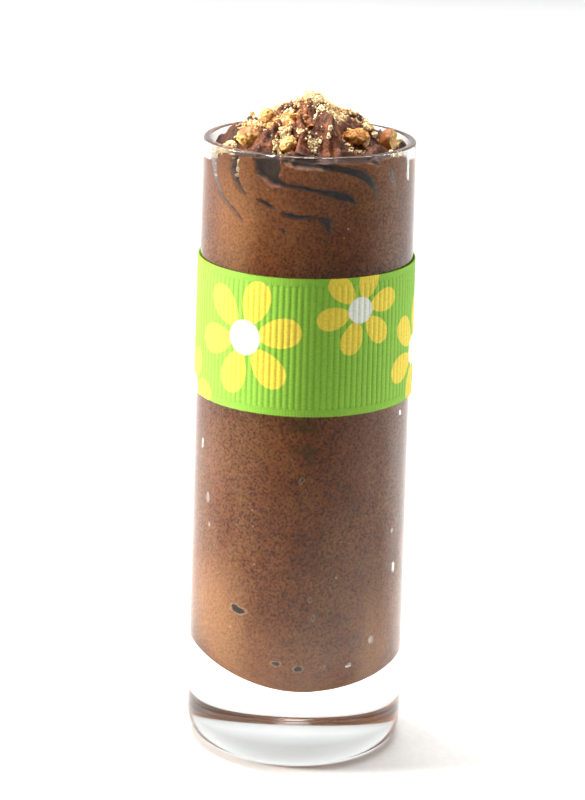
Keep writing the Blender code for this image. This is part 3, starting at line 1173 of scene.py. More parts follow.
@dataclass(frozen=True)
class PipedForm:
    """The mousse's shape: the wall with its gaps, and the rope that winds in and up to the peak."""

    glass: GlassForm
    pressed: tuple[Pressed, ...]
    gaps: tuple[Gap, ...] = FRONT_GAPS + BACK_GAPS
    bubbles: tuple[Bubble, ...] = FRONT_BUBBLES
    fins: tuple[Fin, ...] = FINS
    patches: tuple[Patch, ...] = PATCHES
    stains: tuple[Patch, ...] = STAINS
    dips: tuple[EdgeDip, ...] = EDGE_DIPS
    overlap: float = 0.07 * MM
    edge_below_rim: float = 0.0012
    edge_unevenness: float = 0.35 * MM
    peak_above_rim: float = 0.0070
    slump: float = 1.3
    rope_turns: float = 1.9
    rope_start: float = 0.30
    rope_height: float = 0.0017
    rope_full_radius: float = 0.0085
    ridges_outer: int = 17
    ridges_inner: int = 9
    ridge_height: float = 0.0010
    ridge_lean: float = 1.1
    edge_dip: float = 0.0002
    gap_depth: float = 0.0013
    gap_side: float = 0.22 * MM
    bubble_depth: float = 0.5 * MM
    nut_sink: float = 0.0012
    tear_size: float = 1.5 * MM
    tear_height: float = 0.8 * MM
    crumble_size: float = 0.55 * MM
    crumble_height: float = 0.36 * MM

    @property
    def reach(self) -> float:
        """Return how far out the mousse goes at its top edge."""
        return float(self.glass.inside(self.glass.height - self.edge_below_rim)) + self.overlap

    def edge(self, azimuth: np.ndarray) -> np.ndarray:
        """Return the height of the mousse's uneven top edge on the glass.

        Args:
            azimuth: Degrees from the front.

        Returns:
            The heights.
        """
        spots = place(azimuth, self.reach, 0.0)
        uneven = noise_at(spots, 3 * MM, 5.0) + 0.4 * noise_at(spots, 1 * MM, 9.0)
        dip = self.edge_dip * self.in_gap(azimuth, np.full(azimuth.shape, 0.3 * MM))
        dip = dip + self.sunk(azimuth)
        return self.glass.height - self.edge_below_rim + self.edge_unevenness * uneven - dip

    def sunk(self, azimuth: np.ndarray) -> np.ndarray:
        """Return how far the top edge stands lower there than elsewhere, or higher below 0.

        Args:
            azimuth: Degrees from the front.

        Returns:
            The drops, in metres.
        """
        found = np.zeros(azimuth.shape)
        for low in self.dips:
            away = np.abs(turn_from(azimuth, low.azimuth))
            found = found + low.drop * MM * smooth(1.5 - away / low.half_width)
        return found

    def in_gap(self, azimuth: np.ndarray, below: np.ndarray) -> np.ndarray:
        """Say how deep in a gap each wall point is.

        Args:
            azimuth: Degrees from the front.
            below: Distance below the rim.

        Returns:
            0 on the glass, 1 in a gap away from its sides.
        """
        azimuth, below = np.broadcast_arrays(azimuth, below)
        ragged = noise_at(place(azimuth, self.reach, below), 0.8 * MM, 3.0) * 0.12 * MM
        ragged += noise_at(place(azimuth, self.reach, below), 0.3 * MM, 7.0) * 0.05 * MM
        deepest = np.zeros(azimuth.shape)
        for gap in self.gaps:
            first = gap.stops[0][0]
            round_way = np.radians(turn_from(azimuth, first)) * self.reach
            stops = [
                (math.radians(a - first) * self.reach, d * MM, w * MM / 2) for a, d, w in gap.stops
            ]
            for (ax, ay, aw), (bx, by, bw) in zip(stops, stops[1:]):
                length = max((bx - ax) ** 2 + (by - ay) ** 2, 1e-12)
                share = ((round_way - ax) * (bx - ax) + (below - ay) * (by - ay)) / length
                share = np.clip(share, 0, 1)
                away = np.hypot(round_way - mix(ax, bx, share), below - mix(ay, by, share))
                inside = mix(aw, bw, share) - away + ragged
                deep = gap.depth * np.clip(inside / self.gap_side + 0.3, 0, 1)
                deepest = np.maximum(deepest, deep)
        return deepest

    def in_bubble(
        self, azimuth: np.ndarray, up: np.ndarray, hollow_only: bool = False
    ) -> np.ndarray:
        """Say how far inside an air pocket each wall point is.

        Args:
            azimuth: Degrees from the front.
            up: Height.
            hollow_only: Leaves out the ones that a film of mousse closes.

        Returns:
            About the distance to the nearest pocket's outline, negative outside it.
        """
        deepest = np.full(azimuth.shape, -1.0)
        ragged = 0.22 * noise_at(place(azimuth, self.reach, up), 0.45 * MM, 29.0)
        for bubble in self.bubbles:
            if hollow_only and not bubble.hollow:
                continue
            away = turn_from(azimuth, bubble.azimuth)
            side = np.radians(away) * self.glass.inside(up) / (bubble.half_width * MM)
            rise = (up - bubble.up * MM) / (bubble.half_height * MM)
            inside = 1 - np.hypot(side, rise) + ragged
            smaller = min(bubble.half_width, bubble.half_height) * MM
            deepest = np.maximum(deepest, inside * smaller)
        return deepest

    def shade(self, azimuth: np.ndarray, up: np.ndarray) -> np.ndarray:
        """Return how much paler, above 0, or darker each wall point is than the rest: mostly painted
        light and shade, with a faint random tone and one smudge.

        Args:
            azimuth: Degrees from the front.
            up: Height.

        Returns:
            About -0.5 to 0.8, and 0 where it is like the rest.
        """
        found = 0.10 * noise_at(place(azimuth, self.reach, up), 9 * MM, 31.0)
        for patch in self.patches:
            away = turn_from(azimuth, patch.azimuth)
            rise = (up / MM - patch.up) / patch.half_height
            found = found + patch.tone * smooth(1.2 - np.hypot(away / patch.half_width, rise))
        return found

    def stained(self, azimuth: np.ndarray, up: np.ndarray) -> np.ndarray:
        """Return how far nut oil has stained each wall point, 0 to 1.

        Args:
            azimuth: Degrees from the front.
            up: Height.

        Returns:
            The shares.
        """
        found = np.zeros(azimuth.shape)
        ragged = 0.8 * noise_at(place(azimuth, self.reach, up), 0.9 * MM, 37.0)
        for patch in self.stains:
            away = turn_from(azimuth, patch.azimuth)
            rise = (up / MM - patch.up) / patch.half_height
            inside = 1.2 - np.hypot(away / patch.half_width, rise) + ragged
            found = np.maximum(found, patch.tone * smooth(inside * 1.8))
        return found

    def press(self, azimuth: np.ndarray, across: np.ndarray) -> np.ndarray:
        """Return how far the nut chunks flatten the ridges, 0 to 1.

        Args:
            azimuth: Degrees from the front.
            across: Distance from the axis.

        Returns:
            The shares, 1 under the middle of a chunk.
        """
        spots = place(azimuth, across, 0.0)
        pressed = np.zeros(spots.shape[:-1])
        for nut in self.pressed:
            distance = np.hypot(spots[..., 0] - nut.x, spots[..., 1] - nut.y)
            pressed = np.maximum(pressed, smooth(2.3 - 2.6 * distance / nut.length))
        return pressed

    def crests(self, azimuth: np.ndarray, across: np.ndarray) -> np.ndarray:
        """Return how high the torn crests stand at each point of the top.

        Args:
            azimuth: Degrees from the front.
            across: Distance from the axis.

        Returns:
            The heights above the rope.
        """
        height = np.zeros(azimuth.shape)
        for fin in self.fins:
            share = (across / MM - fin.inner) / (fin.outer - fin.inner)
            middle = fin.azimuth + fin.lean * (share - 0.5)
            away = np.radians(turn_from(azimuth, middle)) * across
            width = fin.half_width * MM * mix(0.5, 1.25, np.clip(share, 0, 1))
            side = np.clip(1 - np.abs(away) / width, 0, 1) ** 0.85
            length = smooth(4.5 * share + 0.4) * np.clip(1.12 - share, 0, 1) ** 0.8
            height = np.maximum(height, fin.height * MM * side * smooth(length * 1.3))
        return height

    def roughness(self, azimuth: np.ndarray, across: np.ndarray) -> np.ndarray:
        """Return the height of the tears and crumbling that piping a stiff mousse leaves.

        Args:
            azimuth: Degrees from the front.
            across: Distance from the axis.

        Returns:
            The heights, above or below 0.
        """
        spots = place(azimuth, across, 0.0)
        tears = 0.5 - np.abs(noise_at(spots, self.tear_size, 11.0)) * 1.6
        crumbled = noise_at(spots, self.crumble_size, 17.0)
        crumbled += 0.5 * noise_at(spots, self.crumble_size / 2, 23.0)
        fade = 1 - 0.85 * smooth(across / self.reach * 9 - 8)
        return (self.tear_height * tears + self.crumble_height * crumbled) * fade

    def top(self, azimuth: np.ndarray, across: np.ndarray) -> np.ndarray:
        """Return the height of the piped top.

        Args:
            azimuth: Degrees from the front.
            across: Distance from the axis.

        Returns:
            The heights above the ground.
        """
        azimuth, across = np.broadcast_arrays(azimuth, across)
        out = across / self.reach
        turns = self.rope_turns * out + (azimuth % 360) / 360 + self.rope_start
        section = turns % 1.0
        back = np.sin(math.pi * section)
        count = np.where(turns >= 1, self.ridges_outer, self.ridges_inner)
        lean = math.tau * self.ridge_lean * (section - 0.5)
        wave = 1 - np.abs(np.sin((count * np.radians(azimuth) + lean) / 2))
        rope = self.rope_height * (back - 0.6) + self.ridge_height * back * (wave - 0.4)
        rope = rope * smooth(across / self.rope_full_radius) * (1 - smooth(4 * out - 3))
        rise = self.peak_above_rim + self.edge_below_rim
        bottom = self.glass.height - self.edge_below_rim
        cone = bottom + rise * (1 - out)
        slumped = bottom + rise * np.clip(1 - out, 0, 1) ** self.slump
        free = slumped + rope + self.crests(azimuth, across) + self.roughness(azimuth, across)
        level = mix(free, cone - self.nut_sink, self.press(azimuth, across))
        # the top falls to its edge over a share of the radius, a longer one where the edge is low
        fall = 0.10 + 0.085 * np.clip(self.sunk(azimuth) / MM, 0, 1.8)
        return mix(level, self.edge(azimuth), smooth((out - 1 + fall) / fall))

    def surface(self, azimuth: np.ndarray, across: np.ndarray) -> tuple[np.ndarray, np.ndarray]:
        """Find points on the piped top and which way it faces there.

        Args:
            azimuth: Degrees from the front.
            across: Distance from the axis.

        Returns:
            The points, and the unit vectors that stand on the surface.
        """
        step = 0.15 * MM
        spots = place(azimuth, across, self.top(azimuth, across))

        def height(points: np.ndarray) -> np.ndarray:
            """Return the top's height under each point."""
            return self.top(azimuth_of(points), np.minimum(across_of(points), self.reach))

        slope_x = (height(spots + [step, 0, 0]) - height(spots - [step, 0, 0])) / (2 * step)
        slope_y = (height(spots + [0, step, 0]) - height(spots - [0, step, 0])) / (2 * step)
        ways = np.stack([-slope_x, -slope_y, np.ones(len(spots))], axis=-1)
        return spots, ways / np.linalg.norm(ways, axis=1, keepdims=True)


@dataclass
class Mousse:
    """The mousse, one closed body from the bottom of the bowl to the peak.

    The painted shade along the top's edge starts edge_shade_from millimetres out and fades in over
    edge_shade_fade.
    """

    form: PipedForm
    finishes: tuple[WhippedChocolate, WhippedChocolate]
    segments: int = 320
    bottom_rings: int = 22
    lower_rings: int = 60
    hidden_rings: int = 12
    upper_rings: int = 76
    top_rings: int = 78
    hidden_from: float = 0.064
    hidden_to: float = 0.084
    gap_zone: float = 16 * MM
    film_width: float = 0.55 * MM
    fine_round_bubble: float = 0.7 * MM
    edge_shade_from: float = 13.4
    edge_shade_fade: float = 2.0

    def levels(self) -> list[tuple[float, float]]:
        """Lay out the wall's rings, far apart behind the ribbon, where they don't show.

        Returns:
            For each ring a height, and its share of the way from there to the uneven top edge.
        """
        bowl_top = self.form.glass.bowl_top
        lower = np.linspace(bowl_top, self.hidden_from, self.lower_rings + 1)[1:]
        hidden = np.linspace(self.hidden_from, self.hidden_to, self.hidden_rings + 1)[1:]
        upper = np.linspace(0, 1, self.upper_rings + 1)[1:]
        plain = [(float(up), 0.0) for up in (*lower, *hidden)]
        return plain + [(self.hidden_to, float(share)) for share in upper]

    def wall(self, azimuths: np.ndarray) -> tuple[np.ndarray, dict[str, np.ndarray]]:
        """Work out the rings up the bowl and the glass.

        Args:
            azimuths: Degrees, one for each point of a ring.

        Returns:
            Points by ring, from the bottom up, and named values for the finish.
        """
        form, glass = self.form, self.form.glass
        bowl = glass.bowl(form.overlap, self.bottom_rings)[1:]
        across = [np.full(len(azimuths), a) for a, _ in bowl]
        ups = [np.full(len(azimuths), u) for _, u in bowl]
        edge = form.edge(azimuths)
        for up, share in self.levels():
            ups.append(mix(up, edge, share))
            across.append(glass.inside(ups[-1]) + form.overlap)
        radii, heights = np.stack(across), np.stack(ups)
        turn = np.broadcast_to(azimuths, radii.shape)
        gap = np.zeros(radii.shape)
        high = heights[:, 0] > glass.height - self.gap_zone
        gap[high] = form.in_gap(turn[high], glass.height - heights[high])
        fringe = smooth(gap * 5) * (1 - smooth(gap * 5 - 2))
        lip = smooth(1 - (edge - heights) / self.film_width) * smooth(gap * -3 + 1)
        values = {
            "gap": gap,
            "film": np.maximum(fringe, lip),
            "shade": form.shade(turn, heights),
            "stain": form.stained(turn, heights),
        }
        return glass.leaned(place(turn, radii - form.gap_depth * gap, heights)), values

    def cover(
        self, azimuths: np.ndarray, gap: np.ndarray
    ) -> tuple[np.ndarray, dict[str, np.ndarray]]:
        """Work out the rings in over the top.

        Args:
            azimuths: Degrees, one for each point of a ring.
            gap: How deep in a gap each point of the wall's last ring is.

        Returns:
            Points by ring, from the edge to the middle, and named values for the finish.
        """
        form = self.form
        shares = np.linspace(1, 0, self.top_rings + 2)[1:-1]
        across = form.reach * np.repeat(shares[:, None], len(azimuths), axis=1)
        turn = np.broadcast_to(azimuths, across.shape)
        start = form.gap_depth * gap * smooth(9 * across / form.reach - 8)
        # painted shade on the top: darker along the edge by the glass and in the low places between the
        # torn crests
        low = smooth(1 - form.crests(turn, across) / (0.8 * MM))
        between_crests = low * smooth((across / MM - 4) / 4)
        by_edge = smooth((across / MM - self.edge_shade_from) / self.edge_shade_fade)
        painted_hollow_shade = np.maximum(by_edge, 0.75 * between_crests)
        values = {"top": np.ones(across.shape), "painted_hollow_shade": painted_hollow_shade}
        return place(turn, across - start, form.top(turn, across)), values

    def shape(self, azimuths: np.ndarray) -> tuple[np.ndarray, dict[str, np.ndarray]]:
        """Work out where each ring's points lie, from the bottom up and in over the top.

        Args:
            azimuths: Degrees, one for each point of a ring.

        Returns:
            Points by ring, and named values for the finish, 0 where a part has none.
        """
        wall, on_wall = self.wall(azimuths)
        cover, on_top = self.cover(azimuths, on_wall["gap"][-1])
        below, above = np.zeros(wall.shape[:2]), np.zeros(cover.shape[:2])
        values = {name: np.concatenate([found, above]) for name, found in on_wall.items()}
        values |= {name: np.concatenate([below, found]) for name, found in on_top.items()}
        return np.concatenate([wall, cover]), values

    def build(self) -> bpy.types.Object:
        """Shape a sphere's rings into the mousse and dress it.

        Returns:
            The mousse.
        """
        azimuths = np.arange(self.segments) * 360 / self.segments
        rows, values = self.shape(azimuths)
        rings = len(rows)
        deselect()
        bpy.ops.mesh.primitive_uv_sphere_add(
            segments=self.segments, ring_count=rings + 1, radius=1.0
        )
        piece = named("chocolate_mousse")
        points = points_of(piece)
        turn = azimuth_of(points) % 360
        column = np.rint(turn * self.segments / 360).astype(int) % self.segments
        level = np.degrees(np.arccos(np.clip(points[:, 2], -1, 1)))
        ring = rings - np.rint(level * (rings + 1) / 180).astype(int)
        inner = (ring >= 0) & (ring < rings)
        top = ring >= rings
        peak = float(self.form.top(np.zeros(1), np.zeros(1))[0])
        points[inner] = rows[ring[inner], column[inner]]
        points[ring < 0] = (0.0, 0.0, self.form.glass.base - self.form.overlap)
        points[top] = (0.0, 0.0, peak)
        move_points(piece, points)
        for name, found in values.items():
            written = np.where(top, float(name == "top"), 0.0)
            written[inner] = found[ring[inner], column[inner]]
            write_values(piece, name, written)
        self.carve_bubbles(piece)
        piece.data.shade_smooth()
        for finish in self.finishes:
            piece.data.materials.append(finish.make())
        self.split_finishes(piece)
        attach(piece, BODY)
        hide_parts("mousse")
        return piece

    def pockets(self, piece: bpy.types.Object, hollow_only: bool = False) -> np.ndarray:
        """Return how far inside an air pocket each of the mesh's points is, negative outside.

        Args:
            piece: The mousse.
            hollow_only: Leaves out the ones that a film of mousse closes.

        Returns:
            One distance for each point.
        """
        points = points_of(piece)
        inside = self.form.in_bubble(azimuth_of(points), points[:, 2], hollow_only)
        on_wall = across_of(points) > 0.5 * self.form.reach
        low = points[:, 2] < self.hidden_from
        return np.where(on_wall & low, inside, -1.0)

    def carve_bubbles(self, piece: bpy.types.Object) -> None:
        """Divide the wall finely round the air pockets, and set the open ones back.

        Args:
            piece: The mousse.
        """
        near = self.pockets(piece) > -self.fine_round_bubble
        chosen = highest_in_face(piece, near)
        piece.data.vertices.foreach_set("select", np.zeros(len(near), dtype=bool))
        piece.data.edges.foreach_set("select", np.zeros(len(piece.data.edges), dtype=bool))
        piece.data.polygons.foreach_set("select", chosen)
        bpy.context.tool_settings.mesh_select_mode = (False, False, True)
        bpy.ops.object.mode_set(mode="EDIT")
        bpy.ops.mesh.subdivide(number_cuts=3)
        bpy.ops.object.mode_set(mode="OBJECT")
        bpy.context.tool_settings.mesh_select_mode = (True, False, False)
        back = self.form.bubble_depth + self.form.overlap
        hollow = smooth(self.pockets(piece, hollow_only=True) / (0.22 * MM) + 0.5)
        points = points_of(piece)
        across = np.maximum(across_of(points), 1 * MM)
        points[:, :2] *= (1 - back * hollow / across)[:, None]
        outline = np.clip(0.5 + self.pockets(piece) / (0.5 * MM), 0, 1)
        move_points(piece, points)
        # the finish paints the pockets' highlight and shade from "bubble", and the painted reflection
        # in the open ones from "hollow"
        write_values(piece, "bubble", outline)
        write_values(piece, "hollow", hollow)

    def split_finishes(self, piece: bpy.types.Object) -> None:
        """Give the free faces, in the gaps and on top, the finish that has its own shine.

        Args:
            piece: The mousse.
        """
        free = np.zeros(len(piece.data.vertices))
        for name in ("gap", "hollow", "top"):
            read = np.zeros(len(free), dtype=np.float32)
            piece.data.attributes[name].data.foreach_get("value", read)
            free = np.maximum(free, read)
        is_free = highest_in_face(piece, free) > 0.05
        piece.data.polygons.foreach_set("material_index", is_free.astype(np.int32))
        piece.data.update()


# ---------------------------------------------------------------- nuts and crumbs


class NutCut(Enum):
    """How a chunk broke: flat breaks, how deep they go, how much skin is left, how lumpy it is."""

    HALF = (3, 0.72, 0.0, 0.12)
    CRUMBLY = (7, 0.78, 0.0, 0.34)
    SMEARED = (5, 0.80, 0.0, 0.20)
    SKINNED = (2, 0.34, 1.0, 0.08)


def break_off(luck: np.random.Generator, depth: float, skinned: float) -> None:
    """Cut one side off the ball in edit mode, and close the cut.

    Args:
        luck: Draws which side, and how much.
        depth: The least share of the radius that stays.
        skinned: Above 0 for a kernel that keeps its skin and breaks at the front right alone.
    """
    way = Vector(luck.normal(size=3)).normalized()
    if skinned:
        way = Vector((luck.uniform(0.7, 0.9), luck.uniform(-0.9, -0.5), luck.uniform(0.0, 0.4)))
        way.normalize()
    spot = way * 0.5 * luck.uniform(depth, 0.95)
    bpy.ops.mesh.select_all(action="SELECT")
    bpy.ops.mesh.bisect(
        plane_co=spot, plane_no=way, use_fill=True, clear_outer=True, clear_inner=False
    )


def broken_lump(
    name: str, size: Sequence[float], cut: NutCut, seed: int, fineness: float
) -> bpy.types.Object:
    """Model one broken piece of nut: a ball cut flat where it broke, then roughened.

    Args:
        name: The piece's name.
        size: Its length, width and height.
        cut: How it broke.
        seed: Makes each one its own.
        fineness: The size of the mesh's faces.

    Returns:
        The object, at the origin.
    """
    breaks, depth, skinned, lumpy = cut.value
    luck = np.random.default_rng(seed)
    deselect()
    bpy.ops.mesh.primitive_ico_sphere_add(subdivisions=4, radius=0.5)
    piece = named(name)
    bpy.ops.object.mode_set(mode="EDIT")
    for _ in range(breaks):
        break_off(luck, depth, skinned)
    bpy.ops.object.mode_set(mode="OBJECT")
    piece.scale = size
    settle(piece)
    shell = piece.modifiers.new("even_mesh", "REMESH")
    shell.mode = "VOXEL"
    shell.voxel_size = fineness
    apply_modifiers(piece)
    points = points_of(piece)
    ways = np.zeros(len(points) * 3)
    piece.data.vertices.foreach_get("normal", ways)
    ways = ways.reshape(-1, 3)
    whole = np.linalg.norm(points / (np.array(size) / 2), axis=1)
    skin = smooth((whole - 0.93) * 14) * skinned
    if cut is NutCut.SMEARED:
        skin = smooth(ways[:, 2] * 3 - 1.5 + noise_at(points, 0.9 * MM, 3.0))
    rough = noise_at(points, min(size) * 0.35, seed * 1.7) * 0.08 * min(size)
    rough += noise_at(points, 0.75 * MM, seed * 1.3) * lumpy * MM
    rough += noise_at(points, 0.3 * MM, seed * 2.3) * 0.1 * MM * (1 - 0.7 * skin)
    move_points(piece, points + ways * rough[:, None])
    write_values(piece, "skin", skin)
    piece.data.shade_smooth()
    return piece


@dataclass
class NutChunk:
    """One large chunk of nut on the mousse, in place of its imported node."""

    node: str
    cut: NutCut
    tone: NutTone
    turn: float
    tip: float
    sink: float = 0.55 * MM
    growth: float = 1.15
    fineness: float = 0.1 * MM

    def build(self) -> bpy.types.Object:
        """Model the chunk in its node's box, a little lower so that it rests in the mousse.

        Returns:
            The chunk.
        """
        low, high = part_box(self.node)
        extent = high - low
        middle = (low + high) / 2
        seed = int(self.node[-1]) + 3
        size = extent * self.growth
        piece = broken_lump(f"{self.node}_chunk", size, self.cut, seed, self.fineness)
        piece.rotation_euler = (math.radians(self.tip), 0.0, math.radians(self.turn))
        piece.location = middle - Vector((0, 0, self.sink))
        settle(piece)
        piece.data.materials.append(BrokenNut(tone=self.tone).make())
        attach(piece, BODY)
        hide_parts(self.node)
        return piece


@dataclass(frozen=True)
class Heap:
    """A sprinkle of crumbs on the piped top, with lengths in millimetres.

    Its middle is an azimuth and a distance from the axis, its crumbs lie within the spread, and
    each gets a size and a tone from the two ranges. The layers say how high they pile up.
    """

    azimuth: float
    across: float
    spread: float
    count: int
    size: tuple[float, float]
    tone: tuple[float, float]
    layers: float
    clumps: int


@dataclass(frozen=True)
class WallCrumb:
    """A crumb pressed against the inside of the glass, sizes in millimetres."""

    azimuth: float
    below_rim: float
    size: float
    tone: float


@dataclass
class CrumbScatter:
    """Many small pieces of one kind, joined to one mesh."""

    name: str
    form: PipedForm
    heaps: tuple[Heap, ...]
    wall: tuple[WallCrumb, ...] = ()
    fineness: int = 1
    kinds: int = 6
    seed: int = 1

    def shapes(self) -> list[tuple[np.ndarray, np.ndarray]]:
        """Model the few shapes that the copies are made from.

        Returns:
            Points, for a size of 1, and triangles of each.
        """
        luck = np.random.default_rng(self.seed)
        made = []
        for _ in range(self.kinds):
            deselect()
            bpy.ops.mesh.primitive_ico_sphere_add(subdivisions=self.fineness, radius=0.5)
            piece = bpy.context.object
            points = points_of(piece) * luck.uniform(0.6, 1.2, 3)
            points += luck.normal(scale=0.1, size=points.shape)
            faces = np.array([tuple(face.vertices) for face in piece.data.polygons])
            made.append((points, faces))
            mesh = piece.data
            bpy.ops.object.delete()
            bpy.data.meshes.remove(mesh)
        return made

    def spots(self) -> tuple[np.ndarray, np.ndarray, np.ndarray]:
        """Choose a place, a size and a tone for each crumb.

        Returns:
            Arrays of middles, sizes and tones.
        """
        luck = np.random.default_rng(self.seed + 50)
        middles, sizes, tones = [], [], []
        for heap in self.heaps:
            centre = place(heap.azimuth, heap.across * MM, 0.0)[:2]
            # the crumbs gather in clumps, but those of a heap with one clump lie loose
            clumps = centre + luck.normal(size=(heap.clumps, 2)) * heap.spread * MM * 0.55
            loose = luck.normal(size=(heap.count, 2)) * mix(0.55, 0.22, heap.clumps > 1)
            chosen = clumps[luck.integers(heap.clumps, size=heap.count)]
            flat = chosen + loose * max(heap.spread, 1.6) * MM
            turn, across = azimuth_of(flat), across_of(flat)
            kept = across < self.form.reach - 0.5 * MM
            size = mix(*heap.size, luck.random(heap.count) ** 1.6) * MM
            found, ways = self.form.surface(turn[kept], across[kept])
            lift = luck.uniform(-0.05, 0.35 + heap.layers, kept.sum())
            middles.append(found + ways * (size[kept] * lift)[:, None])
            sizes.append(size[kept])
            tones.append(luck.uniform(*heap.tone, heap.count)[kept])
        for crumb in self.wall:
            up = self.form.glass.height - crumb.below_rim * MM
            across = self.form.glass.inside(up) - crumb.size * MM * 0.42
            middles.append(place(crumb.azimuth, across, up)[None, :])
            sizes.append(np.array([crumb.size * MM]))
            tones.append(np.array([crumb.tone]))
        return np.concatenate(middles), np.concatenate(sizes), np.concatenate(tones)

    def build(self) -> bpy.types.Object:
        """Copy the shapes to their places as one mesh.

        Returns:
            The crumbs.
        """
        luck = np.random.default_rng(self.seed + 90)
        shapes = self.shapes()
        middles, sizes, tones = self.spots()
        points, faces, written, start = [], [], [], 0
        for middle, size, tone in zip(middles, sizes, tones):
            shape, corners = shapes[luck.integers(len(shapes))]
            axis = Vector(luck.normal(size=3)).normalized()
            turn = np.array(Matrix.Rotation(luck.uniform(0, math.tau), 3, axis))
            points.append(shape @ turn.T * size + middle)
            faces.append(corners + start)
            written.append(np.full(len(shape), tone))
            start += len(shape)
        mesh = bpy.data.meshes.new(self.name)
        mesh.from_pydata(np.concatenate(points), [], np.concatenate(faces))
        piece = bpy.data.objects.new(self.name, mesh)
        bpy.context.scene.collection.objects.link(piece)
        write_values(piece, "tone", np.concatenate(written))
        mesh.materials.append(NutMeal().make())
        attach(piece, BODY)
        return piece


# ---------------------------------------------------------------- the ribbon


@dataclass
class Ribbon:
    """The printed grosgrain band round the glass, its ends lapped at the back."""

    form: GlassForm
    finish: PrintedGrosgrain
    width: float = 0.0229
    middle: float = 0.0739
    clearance: float = 0.06 * MM
    thickness: float = 0.24 * MM
    tilt: float = 0.3
    lap: float = 26.0
    lap_rise: float = 20.0
    lap_clearance: float = 0.08 * MM
    rib_pitch: float = 1.02 * MM
    rib_height: float = 0.125 * MM
    columns_each: int = 8
    selvage: float = 1.25 * MM
    scallop: float = 0.07 * MM

    @property
    def radius(self) -> float:
        """Return the radius of the band's middle."""
        return float(self.form.outside(self.middle)) + self.clearance + self.thickness

    @property
    def length(self) -> float:
        """Return the ribbon's length laid flat, with the lap."""
        return math.radians(360 + self.lap) * self.radius

    def rows(self) -> np.ndarray:
        """Lay out the mesh rows, closer together at the selvages.

        Returns:
            Their heights, from the ribbon's middle.
        """
        half = self.width / 2
        edge = half - np.array([0.0, 0.12, 0.3, 0.6, 0.9, 1.12, 1.22, 1.32, 1.42, 1.6, 2.2]) * MM
        inner = np.linspace(edge[-1], -edge[-1], 9)[1:-1]
        return np.concatenate([-edge, inner[::-1], edge[::-1]])

    def relief(self, along: np.ndarray, across: np.ndarray) -> np.ndarray:
        """Return how high the weave stands, 0 to 1: wide ribs, and fine ones in the selvages.

        Args:
            along: Distance along the ribbon.
            across: Distance from its middle.

        Returns:
            One height for each point.
        """
        rib = np.abs(np.cos(math.pi * along / self.rib_pitch)) ** 0.55
        fine = np.abs(np.cos(math.tau * along / self.rib_pitch)) ** 0.6
        inside = self.width / 2 - np.abs(across)
        outer = smooth((self.selvage - inside) / (0.2 * MM) + 0.5)
        stitch = np.clip(1.6 - np.abs(inside - self.selvage) / (0.16 * MM), 0, 1)
        dash = smooth(1.1 - 2.2 * rib)
        level = mix(rib, 0.35 + 0.5 * fine, outer)
        return level * (1 - stitch * (0.25 + 0.75 * dash))

    def build(self) -> bpy.types.Object:
        """Lay a grid flat, wrap it round the glass, give it thickness and dress it.

        Returns:
            The ribbon.
        """
        ribs = round(self.length / self.rib_pitch)
        columns = ribs * self.columns_each
        rows = np.sort(self.rows())
        deselect()
        bpy.ops.mesh.primitive_grid_add(
            x_subdivisions=columns, y_subdivisions=len(rows) - 1, size=1
        )
        piece = named("grosgrain_ribbon")
        flat = points_of(piece)
        column = np.rint((flat[:, 0] + 0.5) * columns).astype(int)
        row = np.rint((flat[:, 1] + 0.5) * (len(rows) - 1)).astype(int)
        along = column / columns * self.length
        across = rows[row]
        relief = self.relief(along, across)
        at_edge = (row == 0) | (row == len(rows) - 1)
        scallop = self.scallop * np.cos(math.tau * 2 * along / self.rib_pitch + 1.0)
        across = across + np.where(at_edge, np.sign(across) * scallop, 0.0)
        azimuth = 180 - self.lap / 2 + along / self.length * (360 + self.lap)
        lapped = smooth((azimuth - (540 - self.lap / 2 - self.lap_rise)) / self.lap_rise)
        up = self.middle + across
        across_at = self.form.outside(up) + self.clearance + self.thickness
        lift = lapped * (self.thickness + self.rib_height + self.lap_clearance)
        spots = place(azimuth, across_at + lift + relief * self.rib_height, up)
        spots[:, 2] += spots[:, 0] * math.tan(math.radians(self.tilt))
        move_points(piece, spots)
        # the finish paints shade from the same relief, darker where the weave is low
        write_values(piece, "rib", relief)
        self.lay_out(piece, along, across)
        solid = piece.modifiers.new("weave_thickness", "SOLIDIFY")
        solid.thickness = self.thickness
        solid.offset = -1.0
        apply_modifiers(piece)
        face_outwards(piece)
        piece.data.materials.append(self.finish.make())
        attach(piece, BODY)
        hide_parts("ribbon")
        self.length
        return piece

    def lay_out(self, piece: bpy.types.Object, along: np.ndarray, across: np.ndarray) -> None:
        """Write each point's place on the flat ribbon as the UV map "cut".

        Args:
            piece: The ribbon.
            along: Each point's distance from the ribbon's first end.
            across: Each point's distance from its middle.
        """
        cut = piece.data.uv_layers[0]
        cut.name = "cut"
        pairs = np.stack([along, across + self.width / 2], axis=-1) * UV_PER_METRE
        pairs = pairs[face_corners(piece)]
        cut.uv.foreach_set("vector", pairs.astype(np.float32).reshape(-1))


# ---------------------------------------------------------------- the studio


@dataclass(frozen=True)
class Softbox:
    """A soft rectangular light: where it stands, its size and power, and its tone."""

    name: str
    azimuth: float
    distance: float
    up: float
    size: float
    power: float
    spread: float = 180.0
    aim: tuple[float, float, float] = (0.0, 0.0, 0.06)
    tone: str = "#ffffff"


